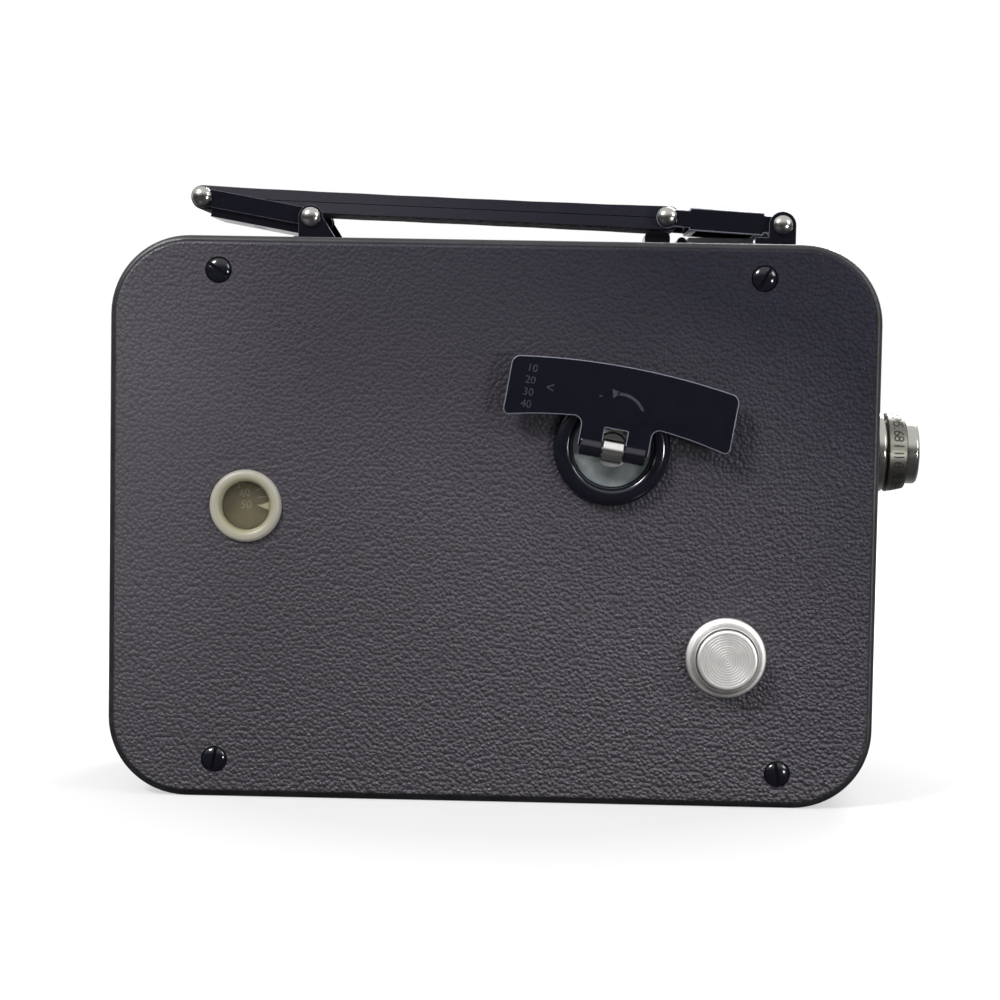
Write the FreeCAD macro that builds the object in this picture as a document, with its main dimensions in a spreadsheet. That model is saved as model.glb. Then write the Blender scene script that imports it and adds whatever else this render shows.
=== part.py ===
import FreeCAD, Part
import math
import os
import Sketcher

# Movie camera for narrow film: a leather covered box with a spring motor on one side of a
# partition and the film chamber on the other.
# Frame: millimetres, X towards the lens, Y from the winding side to the door, Z up.
# The origin is the mouth of the tripod socket, in the middle of the base.

Vector = FreeCAD.Vector
document = FreeCAD.newDocument("movie_camera")
sizes_sheet = document.addObject("Spreadsheet::Sheet", "Sizes")
places_sheet = document.addObject("Spreadsheet::Sheet", "Places")
rows_used = {"Sizes": 0, "Places": 0}
sub_parts = []


class Size:
    """A number together with the spreadsheet expression that it comes from."""

    def __init__(self, number, text):
        self.number = number
        self.text = text

    def __add__(self, other):
        return joined(self, "+", other, self.number + number_of(other))

    def __radd__(self, other):
        return joined(other, "+", self, number_of(other) + self.number)

    def __sub__(self, other):
        return joined(self, "-", other, self.number - number_of(other))

    def __rsub__(self, other):
        return joined(other, "-", self, number_of(other) - self.number)

    def __mul__(self, other):
        return joined(self, "*", other, self.number * number_of(other))

    def __rmul__(self, other):
        return joined(other, "*", self, number_of(other) * self.number)

    def __truediv__(self, other):
        return joined(self, "/", other, self.number / number_of(other))

    def __neg__(self):
        return Size(-self.number, "(0 - %s)" % self.text)


def number_of(value):
    return value.number if isinstance(value, Size) else float(value)


def text_of(value):
    return value.text if isinstance(value, Size) else repr(value)


def joined(left, sign, right, number):
    return Size(number, "(%s %s %s)" % (text_of(left), sign, text_of(right)))


def cosine(angle):
    return Size(math.cos(math.radians(number_of(angle))), "cos(%s)" % text_of(angle))


def sine(angle):
    return Size(math.sin(math.radians(number_of(angle))), "sin(%s)" % text_of(angle))


def square_root(value):
    return Size(math.sqrt(number_of(value)), "sqrt(%s)" % text_of(value))


def slope(rise, run):
    """The angle of a line, in degrees."""
    return Size(math.degrees(math.atan2(number_of(rise), number_of(run))),
                "atan2(%s; %s)" % (text_of(rise), text_of(run)))


def write_row(sheet, name, content, meaning):
    rows_used[sheet.Name] += 1
    row = rows_used[sheet.Name]
    sheet.set("A%d" % row, meaning)
    sheet.set("B%d" % row, content)
    sheet.setAlias("B%d" % row, name)


def size(name, value, meaning):
    """A driving dimension, in a cell of its own."""
    write_row(sizes_sheet, name, str(value), meaning)
    return Size(float(value), "Sizes." + name)


def place(name, value, meaning):
    """A position worked out from the driving dimensions, in a cell of its own."""
    write_row(places_sheet, name, "=" + value.text, meaning)
    return Size(value.number, "Places." + name)


# Driving dimensions of the case

body_length = size("body_length", 165, "case along X, leather included")
body_height = size("body_height", 121, "case along Z, leather included")
body_depth = size("body_depth", 56, "case along Y, leather included")
corner_radius = size("corner_radius", 17, "corners of the case outline")
leather = size("leather", 0.8, "thickness of the leather")
wall = size("wall", 2.2, "case band")
cover_thickness = size("cover_thickness", 1.8, "side cover over the mechanism")
cover_rounding = size("cover_rounding", 1.2, "rounded edge of the side cover")
leather_inset = size("leather_inset", 1.3, "side leather inside the outline")
leather_rounding = size("leather_rounding", 0.6, "edge of the side leather")
door_thickness = size("door_thickness", 2.1, "film door plate")
door_gap = size("door_gap", 0.3, "between the case band and the door")
door_drop = size("door_drop", 0.5, "door outline inside the case outline")
rim_height = size("rim_height", 2.0, "light trap rim inside the door")
rim_thickness = size("rim_thickness", 1.2, "light trap rim")
rim_gap = size("rim_gap", 0.4, "between the rim and the case wall")
partition_thickness = size("partition_thickness", 2.5, "plate between the two chambers")
partition_place = size("partition_place", -1.0, "mechanism face of the partition, along Y")
fit = size("fit", 0.05, "radial clearance of a running fit")
play = size("play", 0.3, "gap between pieces that pass each other")
seat_gap = size("seat_gap", 0.1, "gap round a fixed piece in its hole")
crown_flat = size("crown_flat", 0.1, "radius of the flat at the top of a crown")

screw_left = size("screw_left", 59.2, "left cover screws, from the middle")
screw_low_right = size("screw_low_right", 62.2, "lower right cover screw, from the middle")
screw_high_right = size("screw_high_right", 57.1, "upper right cover screw, from the middle")
screw_low = size("screw_low", 8.3, "lower left cover screw, above the base")
screw_right_low = size("screw_right_low", 7.6, "lower right cover screw, above the base")
screw_drop = size("screw_drop", 7.4, "upper cover screws, under the top")
screw_head_radius = size("screw_head_radius", 2.75, "cover screw head")
screw_head_height = size("screw_head_height", 1.5, "cover screw head")
screw_shank_radius = size("screw_shank_radius", 1.4, "cover screw shank")
screw_length = size("screw_length", 9, "cover screw under the head")
screw_slot = size("screw_slot", 0.8, "width of a screw slot")
post_radius = size("post_radius", 3.4, "posts that take the cover screws")

base_plate_length = size("base_plate_length", 84, "base plate along X")
base_plate_width = size("base_plate_width", 40, "base plate along Y")
base_plate_rounding = size("base_plate_rounding", 5, "base plate corners")
bush_radius = size("bush_radius", 7, "tripod bush")
bush_flange = size("bush_flange", 10, "flange of the bush inside the case")
bush_corner = size("bush_corner", 2, "corners of the square that keeps the bush from turning")
bush_height = size("bush_height", 9, "tripod bush")
socket_radius = size("socket_radius", 2.6, "core of the quarter inch tripod thread")
socket_depth = size("socket_depth", 7, "tripod socket")

# Driving dimensions of the pieces on the winding side

winder_x = size("winder_x", 25.4, "winding spindle along X")
winder_drop = size("winder_drop", 43.8, "winding spindle under the top")
spindle_radius = size("spindle_radius", 3.0, "winding spindle and barrel arbor")
pivot_radius = size("pivot_radius", 1.5, "thin end of the arbor")
cup_radius = size("cup_radius", 12.45, "key cup")
cup_dish_radius = size("cup_dish_radius", 8.7, "recess in the key cup")
cup_height = size("cup_height", 3.0, "key cup rim over the leather")
cup_floor = size("cup_floor", 0.3, "recess floor over the leather")
cup_neck_radius = size("cup_neck_radius", 5.5, "neck of the cup through the cover")
cup_crest = size("cup_crest", 0.45, "crest of the cup rim, share of its width")
cup_inner_curve = size("cup_inner_curve", 0.65, "curve inside the crest, share of the rim")
cup_outer_curve = size("cup_outer_curve", 0.78, "curve outside the crest, share of the rim")
key_tilt = size("key_tilt", 9.5, "key turned clockwise from upright, degrees")
key_thickness = size("key_thickness", 1.6, "key plate")
key_gap = size("key_gap", 0.5, "key plate over the cup rim")
key_wing_half = size("key_wing_half", 24.4, "half the length of the wing")
key_top = size("key_top", 18.2, "top of the wing over the hinge pin")
key_top_radius = size("key_top_radius", 156, "upper edge of the wing")
key_low = size("key_low", 6.5, "lower edge of the wing over the hinge pin, in the middle")
key_low_radius = size("key_low_radius", 100, "lower edge of the wing")
key_corner = size("key_corner", 1.6, "corners of the wing")
key_neck_half = size("key_neck_half", 7.6, "half the width of the neck")
key_neck_fillet = size("key_neck_fillet", 1.8, "where the neck meets the wing")
key_slot_half = size("key_slot_half", 2.45, "half the slot round the lug")
key_slot_top = size("key_slot_top", 4.7, "slot above the hinge pin")
knuckle_radius = size("knuckle_radius", 1.9, "key knuckles")
knuckle_reach = size("knuckle_reach", 7.0, "outer end of the key knuckles")
key_pin_radius = size("key_pin_radius", 0.9, "hinge pin of the key")
key_pin_drop = size("key_pin_drop", 0.7, "key hinge pin under the spindle's axis")
lug_half = size("lug_half", 2.1, "half the thickness of the spindle lug")
lug_half_height = size("lug_half_height", 2.5, "half the height of the spindle lug")

window_x = size("window_x", -52.9, "footage window along X")
window_drop = size("window_drop", 57.7, "footage window under the top")
bezel_radius = size("bezel_radius", 7.8, "window ring outside")
bezel_bore = size("bezel_bore", 5.2, "window ring inside")
bezel_height = size("bezel_height", 1.2, "window ring over the leather")
pane_thickness = size("pane_thickness", 0.6, "window pane")
pointer_reach = size("pointer_reach", 2.4, "pointer tooth into the window")
pointer_half = size("pointer_half", 0.9, "half the width of the pointer tooth")
dial_offset = size("dial_offset", 9.0, "dial axis left of the window")
dial_radius = size("dial_radius", 14.5, "footage dial")
dial_thickness = size("dial_thickness", 0.8, "footage dial")

button_x = size("button_x", 50.7, "release button along X")
button_z = size("button_z", 32.5, "release button above the base")
button_radius = size("button_radius", 6.45, "release button")
button_height = size("button_height", 5.0, "button face over the leather")
button_flange = size("button_flange", 7.4, "flange behind the cover")
button_flange_height = size("button_flange_height", 1.2, "flange behind the cover")
button_stem = size("button_stem", 2.0, "button stem")
button_mouth = size("button_mouth", 0.45, "gap between the button and the collar mouth")
collar_radius = size("collar_radius", 8.65, "collar at the leather")
collar_height = size("collar_height", 3.2, "collar over the leather")
guide_radius = size("guide_radius", 4.2, "sleeve that guides the button stem")
guide_height = size("guide_height", 11, "sleeve on the partition")
stem_overlap = size("stem_overlap", 6, "stem inside the sleeve")
coil_wire = size("coil_wire", 0.35, "radius of the release spring's wire")
coil_radius = size("coil_radius", 3.3, "release spring")
coil_turns = size("coil_turns", 5, "turns of the release spring")

# Driving dimensions of the lens

lens_y = size("lens_y", 11.0, "lens axis along Y")
lens_drop = size("lens_drop", 45.2, "lens axis under the top")
board_thickness = size("board_thickness", 1.5, "lens board")
board_half_width = size("board_half_width", 13, "lens board, half along Y")
board_half_height = size("board_half_height", 18, "lens board, half along Z")
board_rounding = size("board_rounding", 4, "lens board corners")
board_screw_inset = size("board_screw_inset", 3.4, "lens board screws from the edges")
small_head_radius = size("small_head_radius", 1.5, "small screw heads")
small_head_height = size("small_head_height", 0.9, "small screw heads")
small_head_rim = size("small_head_rim", 0.36, "upright rim of the small screw heads")
small_head_flat = size("small_head_flat", 0.9, "flat top of the small screw heads")
small_slot_depth = size("small_slot_depth", 0.36, "slots of the small screws")
small_shank_radius = size("small_shank_radius", 0.8, "small screw shanks")
small_screw_length = size("small_screw_length", 4.2, "small screws under the head")
tube_radius = size("tube_radius", 7.4, "lens tube through the wall")
tube_bore = size("tube_bore", 4.6, "light path in the lens tube")
flange_radius = size("flange_radius", 11.5, "lens flange on the board")
flange_thickness = size("flange_thickness", 2.2, "lens flange on the board")
base_ring_radius = size("base_ring_radius", 9.0, "silver base ring of the lens")
base_ring_end = size("base_ring_end", 5.5, "base ring, from the front face")
groove_radius = size("groove_radius", 7.6, "dark groove of the lens")
groove_end = size("groove_end", 5.95, "groove, from the front face")
lens_tube_length = size("lens_tube_length", 11.2, "lens tube, from the front face")
iris_ring_radius = size("iris_ring_radius", 9.0, "iris ring at its back")
iris_ring_front = size("iris_ring_front", 8.1, "iris ring at its front")
iris_ring_seat = size("iris_ring_seat", 6.6, "tube under the iris ring")
iris_ring_end = size("iris_ring_end", 10.7, "iris ring, from the front face")
side_gap = size("side_gap", 0.15, "between turning rings")
front_ring_radius = size("front_ring_radius", 7.1, "smooth front ring")
front_ring_bore = size("front_ring_bore", 5.3, "front ring inside")
front_ring_end = size("front_ring_end", 13.5, "front ring, from the front face")
front_ring_rounding = size("front_ring_rounding", 0.8, "front ring edge")
glass_radius = size("glass_radius", 5.2, "front glass")
glass_thickness = size("glass_thickness", 2.3, "front glass in the middle")
glass_recess = size("glass_recess", 0.5, "front glass inside the front ring")
rear_glass_radius = size("rear_glass_radius", 4.5, "rear glass")
rear_glass_thickness = size("rear_glass_thickness", 2.0, "rear glass in the middle")

# Driving dimensions of the mechanism

coarse_module = size("coarse_module", 0.8, "gear module of the great wheel")
fine_module = size("fine_module", 0.4, "gear module of the shutter train")
great_teeth = size("great_teeth", 84, "teeth of the great wheel")
pinion_teeth = size("pinion_teeth", 18, "teeth of every pinion")
wheel_teeth = size("wheel_teeth", 72, "teeth of the intermediate wheel")
backlash = size("backlash", 0.12, "tooth thinning, in modules")
tooth_root = size("tooth_root", 1.25, "tooth roots inside the pitch circle, in modules")
sprocket_angle = size("sprocket_angle", 33, "sprocket shaft round the barrel, degrees")
governor_angle = size("governor_angle", -80, "governor round the intermediate shaft, degrees")
shutter_x = size("shutter_x", 73.2, "shutter axis along X")
plate_thickness = size("plate_thickness", 1.4, "movement plate")
plate_gap = size("plate_gap", 0.8, "movement plate behind the side cover")
ratchet_thickness = size("ratchet_thickness", 1.8, "ratchet wheel")
ratchet_radius = size("ratchet_radius", 8.0, "ratchet wheel tips")
ratchet_root = size("ratchet_root", 6.8, "ratchet wheel roots")
ratchet_teeth = size("ratchet_teeth", 24, "ratchet teeth")
click_x = size("click_x", 12.5, "click pivot beside the winder, along X")
click_z = size("click_z", 10.7, "click pivot over the winder, along Z")
click_eye = size("click_eye", 2.4, "eye of the click")
click_arm = size("click_arm", 1.68, "click arm at its eye, half its height")
click_nose_low = size("click_nose_low", 7.2, "click nose over the winder")
click_nose_high = size("click_nose_high", 9.8, "back of the click nose over the winder")
lid_thickness = size("lid_thickness", 1.0, "barrel lid")
barrel_step = size("barrel_step", 0.2, "roots of the great wheel beyond the drum")
barrel_wall = size("barrel_wall", 1.2, "barrel drum")
great_thickness = size("great_thickness", 2.4, "great wheel")
great_place = size("great_place", 4.6, "great wheel from the partition")
hub_radius = size("hub_radius", 5.0, "hubs on the arbor")
spring_turns = size("spring_turns", 11, "turns of the mainspring")
spring_inner = size("spring_inner", 8.5, "inner turn of the mainspring")
spring_gap = size("spring_gap", 0.6, "outer turn of the mainspring inside the drum")
spring_strip = size("spring_strip", 0.35, "thickness of the mainspring")
spring_hook = size("spring_hook", 1.5, "half the block that holds the mainspring's outer end")
pinion_height = size("pinion_height", 3.2, "pinions along Y")
fine_wheel_place = size("fine_wheel_place", 2.1, "intermediate wheel from the partition")
fine_wheel_thickness = size("fine_wheel_thickness", 1.6, "intermediate wheel")
wheel_ring = size("wheel_ring", 8.64, "circle of the wheel's holes")
wheel_hole = size("wheel_hole", 3.024, "holes of the intermediate wheel")
fine_pinion_height = size("fine_pinion_height", 2.4, "fine pinions along Y")
shaft_radius = size("shaft_radius", 1.6, "train shafts")
shaft_end_radius = size("shaft_end_radius", 1.0, "train shafts in their bearings")
shaft_end_length = size("shaft_end_length", 1.3, "blind bearings in the partition")
pillar_radius = size("pillar_radius", 2.2, "movement pillars")
pillar_distance = size("pillar_distance", 38.6, "pillars round the barrel")
plate_margin = size("plate_margin", 2.9, "movement plate beyond its outer shafts")
governor_disc = size("governor_disc", 6.5, "governor brake disc")
governor_weight = size("governor_weight", 1.7, "governor weights, radius")
governor_length = size("governor_length", 5.1, "governor weights along Y")
governor_place = size("governor_place", 5.1, "governor weights from the movement plate")
governor_arm = size("governor_arm", 0.5, "arms of the governor weights, radius")
governor_swing = size("governor_swing", 4.6, "governor weights from the shaft")
dial_pinion_teeth = size("dial_pinion_teeth", 22, "teeth of the dial pinion")
sector_teeth = size("sector_teeth", 60, "teeth of the sector's whole circle")
sector_thickness = size("sector_thickness", 1.4, "feeler arm sector")
sector_place = size("sector_place", 10.6, "feeler arm sector from the partition")
feeler_x = size("feeler_x", -68, "feeler arm shaft along X")
feeler_length = size("feeler_length", 24, "feeler arm")
feeler_angle = size("feeler_angle", 68.6, "feeler arm at rest, degrees above +X")
feeler_half = size("feeler_half", 2.24, "feeler lever, half its width")

# Driving dimensions of the film chamber

film_middle = size("film_middle", 12.0, "middle of the film along Y")
spool_radius = size("spool_radius", 32.5, "spool flanges")
spool_width = size("spool_width", 17.0, "spool over its flanges")
spool_flange = size("spool_flange", 1.0, "spool flanges")
spool_core = size("spool_core", 12.5, "spool core")
spool_core_wall = size("spool_core_wall", 1.2, "spool core wall")
spool_hub = size("spool_hub", 5.2, "spool hub round the spindle")
spool_hole = size("spool_hole", 6.0, "holes in the spool flanges")
takeup_x = size("takeup_x", 20.0, "take-up spindle along X")
supply_x = size("supply_x", -46.0, "supply spindle along X")
film_spindle_radius = size("film_spindle_radius", 3.2, "film spindles")
film_spindle_tip = size("film_spindle_tip", 22.8, "film spindle tips along Y")
spindle_blade = size("spindle_blade", 0.8, "blade on the supply spindle, half its height")
pulley_radius = size("pulley_radius", 6.0, "slipping drive pulley")
pulley_thickness = size("pulley_thickness", 2.2, "slipping drive pulley")
sprocket_radius = size("sprocket_radius", 9.3, "film sprocket")
sprocket_rim = size("sprocket_rim", 2.2, "sprocket rims along Y")
sprocket_waist = size("sprocket_waist", 7.2, "sprocket between the rims")
perforation_spacing = size("perforation_spacing", 12.3, "between the perforation rows")
sprocket_pins = size("sprocket_pins", 8, "pins on each rim")
pin_length = size("pin_length", 1.1, "sprocket pins")
pin_base = size("pin_base", 0.65, "sprocket pins at the rim")
pin_tip = size("pin_tip", 0.4, "sprocket pins at the tip")
pin_root = size("pin_root", 0.3, "sprocket pins inside the rim")
gate_x = size("gate_x", 65.0, "film plane along X")
gate_thickness = size("gate_thickness", 1.5, "gate plate")
gate_below = size("gate_below", 25.8, "gate plate below the lens axis")
gate_above = size("gate_above", 12.2, "gate plate above the lens axis")
gate_width = size("gate_width", 19.5, "gate plate along Y")
frame_width = size("frame_width", 10.3, "picture window along Y")
frame_height = size("frame_height", 7.5, "picture window along Z")
film_gap = size("film_gap", 0.7, "between the gate and the pressure plate")
pressure_thickness = size("pressure_thickness", 1.6, "pressure plate")
bracket_back = size("bracket_back", 8.2, "pressure bracket behind the film plane")
bracket_depth = size("bracket_depth", 2.0, "pressure bracket along X")
pressure_half_height = size("pressure_half_height", 11, "pressure plate, half along Z")
pressure_half_width = size("pressure_half_width", 8, "pressure plate, half along Y")
pressure_coil_radius = size("pressure_coil_radius", 2.4, "pressure spring")
pressure_wire = size("pressure_wire", 0.28, "radius of the pressure spring's wire")
pressure_turns = size("pressure_turns", 3, "turns of the pressure spring")
cup_shutter_radius = size("cup_shutter_radius", 5.7, "shutter cup")
cup_shutter_wall = size("cup_shutter_wall", 0.6, "shutter cup")
cup_window = size("cup_window", 3.825, "shutter cup, half the height of its windows")
cup_shutter_base = size("cup_shutter_base", 3.1, "shutter cup from the partition")
cup_shutter_tip = size("cup_shutter_tip", 20.0, "shutter cup's mouth along Y")
cam_radius = size("cam_radius", 2.8, "pulldown cam")
cam_throw = size("cam_throw", 1.9, "pulldown cam off its shaft")
claw_thickness = size("claw_thickness", 1.0, "pulldown claw")
claw_pin_radius = size("claw_pin_radius", 1.0, "guide pin of the claw")
claw_rim = size("claw_rim", 0.8, "claw round the cam")
claw_arm = size("claw_arm", 2.8, "claw arm")
claw_drop = size("claw_drop", 12.8, "claw tip below the lens axis")
claw_slot_half = size("claw_slot_half", 0.85, "half the width of the claw slots")
hinge_x = size("hinge_x", 2.1, "door hinge pin outside the case")
hinge_inset = size("hinge_inset", 0.1, "door hinge pin from the door's inner face")
hinge_pin_radius = size("hinge_pin_radius", 0.8, "door hinge pin")
hinge_barrel = size("hinge_barrel", 1.8, "door hinge knuckles")
hinge_half = size("hinge_half", 25, "half the door hinge")
hinge_leaf = size("hinge_leaf", 0.8, "hinge leaf")
hinge_leaf_reach = size("hinge_leaf_reach", 9, "hinge leaf along the case")
lock_x = size("lock_x", 67.5, "door lock along X")
lock_z = size("lock_z", 30, "door lock above the base")
lock_radius = size("lock_radius", 9, "door lock knob")
lock_disc = size("lock_disc", 1.6, "door lock knob disc")
lock_grip = size("lock_grip", 3.4, "door lock grip over the disc")
lock_grip_half = size("lock_grip_half", 7.65, "door lock grip, half its length")
lock_shaft = size("lock_shaft", 3.0, "door lock shaft")
cam_length = size("cam_length", 11.0, "door lock cam")
cam_half = size("cam_half", 2.5, "door lock cam, half its width")
cam_thickness = size("cam_thickness", 2.0, "door lock cam")
keeper_depth = size("keeper_depth", 3.2, "keeper lip inside the front wall")
keeper_thickness = size("keeper_thickness", 2.0, "keeper lip")

# Driving dimensions of the sights and the handle

rear_low_x = size("rear_low_x", -41.2, "rear sight pivot along X")
rear_low_z = size("rear_low_z", 5.0, "rear sight pivot over the case")
rear_high_x = size("rear_high_x", -65.35, "strap pin at the rear, along X")
rear_high_z = size("rear_high_z", 9.2, "strap pin at the rear, over the case")
front_high_x = size("front_high_x", 36.9, "strap pin at the front, along X")
front_high_z = size("front_high_z", 6.2, "strap pin at the front, over the case")
front_low_x = size("front_low_x", 62.0, "front sight pivot along X")
front_low_z = size("front_low_z", 4.8, "front sight pivot over the case")
link_pin_radius = size("link_pin_radius", 1.1, "pins of the linkage")
link_head_radius = size("link_head_radius", 2.2, "domed heads of the pins")
link_head_height = size("link_head_height", 1.5, "domed heads of the pins")
link_head_rim = size("link_head_rim", 0.375, "upright rim of the domed heads")
strap_half = size("strap_half", 9.8, "half the width of the strap")
strap_thickness = size("strap_thickness", 5.3, "doubled leather strap")
strap_slack = size("strap_slack", 0.35, "half the straight part of the strap's front loop")
loop_gap = size("loop_gap", 0.6, "slack of the strap's front loop along Z")
flange_place = size("flange_place", 11.1, "inner face of the sight flanges")
link_flange = size("link_flange", 1.0, "sight flanges")
flange_half = size("flange_half", 1.9, "half the height of the rear flanges")
flange_end = size("flange_end", 2.4, "rounded ends of the flanges")
web_drop = size("web_drop", 3.9, "rear sight plate under the pins' line")
web_thickness = size("web_thickness", 0.9, "rear sight plate")
web_start = size("web_start", 2.2, "rear sight plate from the pivot")
web_end = size("web_end", 2.5, "rear sight plate short of the strap pin")
peep_radius = size("peep_radius", 1.6, "peep hole")
front_half = size("front_half", 2.5, "half the depth of the front sight frame")
front_start = size("front_start", 4.0, "front sight frame from the pivot")
front_short = size("front_short", 4.9, "front sight frame short of the strap pin")
front_bar = size("front_bar", 1.8, "bars of the front sight frame")
sight_glass_thickness = size("sight_glass_thickness", 1.2, "front sight glass")
ear_thickness = size("ear_thickness", 1.2, "bracket ears")
ear_gap = size("ear_gap", 0.3, "between the ears and the flanges")
bracket_thickness = size("bracket_thickness", 0.8, "bracket plates")
bracket_screw_y = size("bracket_screw_y", 7, "bracket screws from the middle")
rear_ear_radius = size("rear_ear_radius", 2.65, "top of the rear ears")
rear_gusset = size("rear_gusset", 5.3, "foot of the rear ears in front of the pivot")
rear_base = size("rear_base", 3.71, "base of the rear bracket behind the pivot")
front_ear_radius = size("front_ear_radius", 2.95, "top of the front ears")
front_foot = size("front_foot", 5.9, "foot of the front ears behind the pivot")
front_foot_height = size("front_foot_height", 2.1, "foot of the front ears")
rest_back = size("rest_back", 4.7, "handle rest behind the front strap pin")
rest_front = size("rest_front", 0.9, "handle rest before the front strap pin")
rest_half = size("rest_half", 7.5, "half the width of the handle rest")
rest_gap = size("rest_gap", 0.25, "handle rest under the strap")
rest_rounding = size("rest_rounding", 1.2, "handle rest edges")
roll_place = size("roll_place", 3.5, "rolled edge, from the front strap pin")
roll_radius = size("roll_radius", 1.1, "rolled edge of the bracket plate")
shoe_place = size("shoe_place", 5.0, "raised plate, from the front strap pin")

# Places worked out from them

half_length = place("half_length", body_length / 2, "front face")
screw_high = place("screw_high", body_height - screw_drop, "upper cover screws")
winder_z = place("winder_z", body_height - winder_drop, "winding spindle")
window_z = place("window_z", body_height - window_drop, "footage window")
lens_z = place("lens_z", body_height - lens_drop, "lens axis")
gate_low = place("gate_low", lens_z - gate_below, "gate plate, lower end")
gate_high = place("gate_high", lens_z + gate_above, "gate plate, upper end")
spools_z = place("spools_z", body_height / 2, "both film spindles")
hinge_middle = place("hinge_middle", body_height / 2, "middle of the door hinge")
near_face = place("near_face", -body_depth / 2, "outer face of the side leather")
cover_outer = place("cover_outer", near_face + leather, "side cover outside")
cover_inner = place("cover_inner", cover_outer + cover_thickness, "side cover inside")
far_face = place("far_face", body_depth / 2, "outer face of the door leather")
door_outer = place("door_outer", far_face - leather, "door plate outside")
door_inner = place("door_inner", door_outer - door_thickness, "door plate inside")
hinge_y = place("hinge_y", door_inner - hinge_inset, "door hinge pin")
band_end = place("band_end", door_inner - door_gap, "open edge of the case band")
partition_far = place("partition_far", partition_place + partition_thickness, "film side")
inner_front = place("inner_front", half_length - leather - wall, "front wall inside")
inner_top = place("inner_top", body_height - leather - wall, "top wall inside")
inner_base = place("inner_base", leather + wall, "bottom wall inside")
plate_near = place("plate_near", cover_inner + plate_gap, "movement plate, cover side")
plate_far = place("plate_far", plate_near + plate_thickness, "movement plate, train side")
cup_rim = place("cup_rim", near_face - cup_height, "rim of the key cup")
key_far = place("key_far", cup_rim - key_gap, "inner face of the key plate")
key_plane = place("key_plane", key_far - key_thickness / 2, "middle of the key plate")
ratchet_near = place("ratchet_near", plate_far + play, "ratchet wheel, cover side")
ratchet_far = place("ratchet_far", ratchet_near + ratchet_thickness, "ratchet wheel, barrel side")
lid_near = place("lid_near", ratchet_far + play, "barrel lid outside")
lid_far = place("lid_far", lid_near + lid_thickness, "barrel lid inside")
great_far = place("great_far", partition_place - great_place, "great wheel, partition side")
great_near = place("great_near", great_far - great_thickness, "great wheel, drum side")
fine_far = place("fine_far", partition_place - fine_wheel_place, "fine wheel, partition side")
fine_near = place("fine_near", fine_far - fine_wheel_thickness, "fine wheel, cover side")
barrel_radius = place("barrel_radius", coarse_module * (great_teeth / 2 - tooth_root)
                      - barrel_step, "barrel drum")
spring_outer = place("spring_outer", barrel_radius - barrel_wall - spring_gap,
                     "outer turn of the mainspring")
coarse_distance = place("coarse_distance", coarse_module * (great_teeth + pinion_teeth) / 2,
                        "great wheel to its pinions")
fine_distance = place("fine_distance", fine_module * (wheel_teeth + pinion_teeth) / 2,
                      "fine wheel to its pinions")
sprocket_x = place("sprocket_x", winder_x + coarse_distance * cosine(sprocket_angle),
                   "sprocket shaft")
sprocket_z = place("sprocket_z", winder_z + coarse_distance * sine(sprocket_angle),
                   "sprocket shaft")
shutter_z = place("shutter_z", lens_z + 0, "shutter axis")
axes_x = place("axes_x", shutter_x - winder_x, "barrel to shutter along X")
axes_z = place("axes_z", shutter_z - winder_z, "barrel to shutter along Z")
axes_apart = place("axes_apart", square_root(axes_x * axes_x + axes_z * axes_z),
                   "barrel to shutter")
along_axes = place("along_axes", (coarse_distance * coarse_distance - fine_distance * fine_distance
                                  + axes_apart * axes_apart) / (axes_apart * 2),
                   "intermediate shaft along the line from barrel to shutter")
beside_axes = place("beside_axes", square_root(coarse_distance * coarse_distance
                                               - along_axes * along_axes),
                    "intermediate shaft beside that line")
middle_x = place("middle_x", winder_x + (along_axes * axes_x + beside_axes * axes_z) / axes_apart,
                 "intermediate shaft")
middle_z = place("middle_z", winder_z + (along_axes * axes_z - beside_axes * axes_x) / axes_apart,
                 "intermediate shaft")
governor_x = place("governor_x", middle_x + fine_distance * cosine(governor_angle), "governor")
governor_z = place("governor_z", middle_z + fine_distance * sine(governor_angle), "governor")
dial_x = place("dial_x", window_x - dial_offset, "dial axis")
dial_distance = place("dial_distance", coarse_module * (sector_teeth + dial_pinion_teeth) / 2,
                      "sector to dial pinion")
feeler_aside = place("feeler_aside", dial_x - feeler_x, "dial axis beside the feeler shaft")
feeler_z = place("feeler_z", window_z - square_root(dial_distance * dial_distance
                                                    - feeler_aside * feeler_aside),
                 "feeler shaft")
guide_end = place("guide_end", partition_place - guide_height, "button sleeve's mouth")
button_face = place("button_face", near_face - button_height, "button face")
button_stop = place("button_stop", cover_inner + 0, "button flange against the cover")
front_face = place("front_face", half_length + board_thickness, "lens board outside")
ear_inner = place("ear_inner", flange_place + link_flange + ear_gap, "inner face of the ears")
ear_outer = place("ear_outer", ear_inner + ear_thickness, "outer face of the ears")
hinge_axis_x = place("hinge_axis_x", -half_length - hinge_x, "door hinge axis")
spool_near = place("spool_near", film_middle - spool_width / 2, "spool, partition side")
spool_far = place("spool_far", film_middle + spool_width / 2, "spool, door side")
keeper_far = place("keeper_far", door_inner - rim_height - play, "keeper, door side")
keeper_near = place("keeper_near", keeper_far - keeper_thickness, "keeper, cam side")
cam_far = place("cam_far", keeper_near - play, "door cam, door side")
cam_near = place("cam_near", cam_far - cam_thickness, "door cam, partition side")
claw_near = place("claw_near", partition_far + play * 3, "claw, partition side")
claw_far = place("claw_far", claw_near + claw_thickness, "claw, film side")
claw_opening = place("claw_opening", cam_radius + cam_throw + play, "hole round the cam")
claw_tip_z = place("claw_tip_z", lens_z - claw_drop, "claw tip")
claw_guide_x = place("claw_guide_x", shutter_x - claw_opening - claw_rim + claw_arm / 2,
                     "claw guide pin")
claw_guide_z = place("claw_guide_z", claw_tip_z - claw_arm * 1.5, "claw guide pin")
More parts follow.
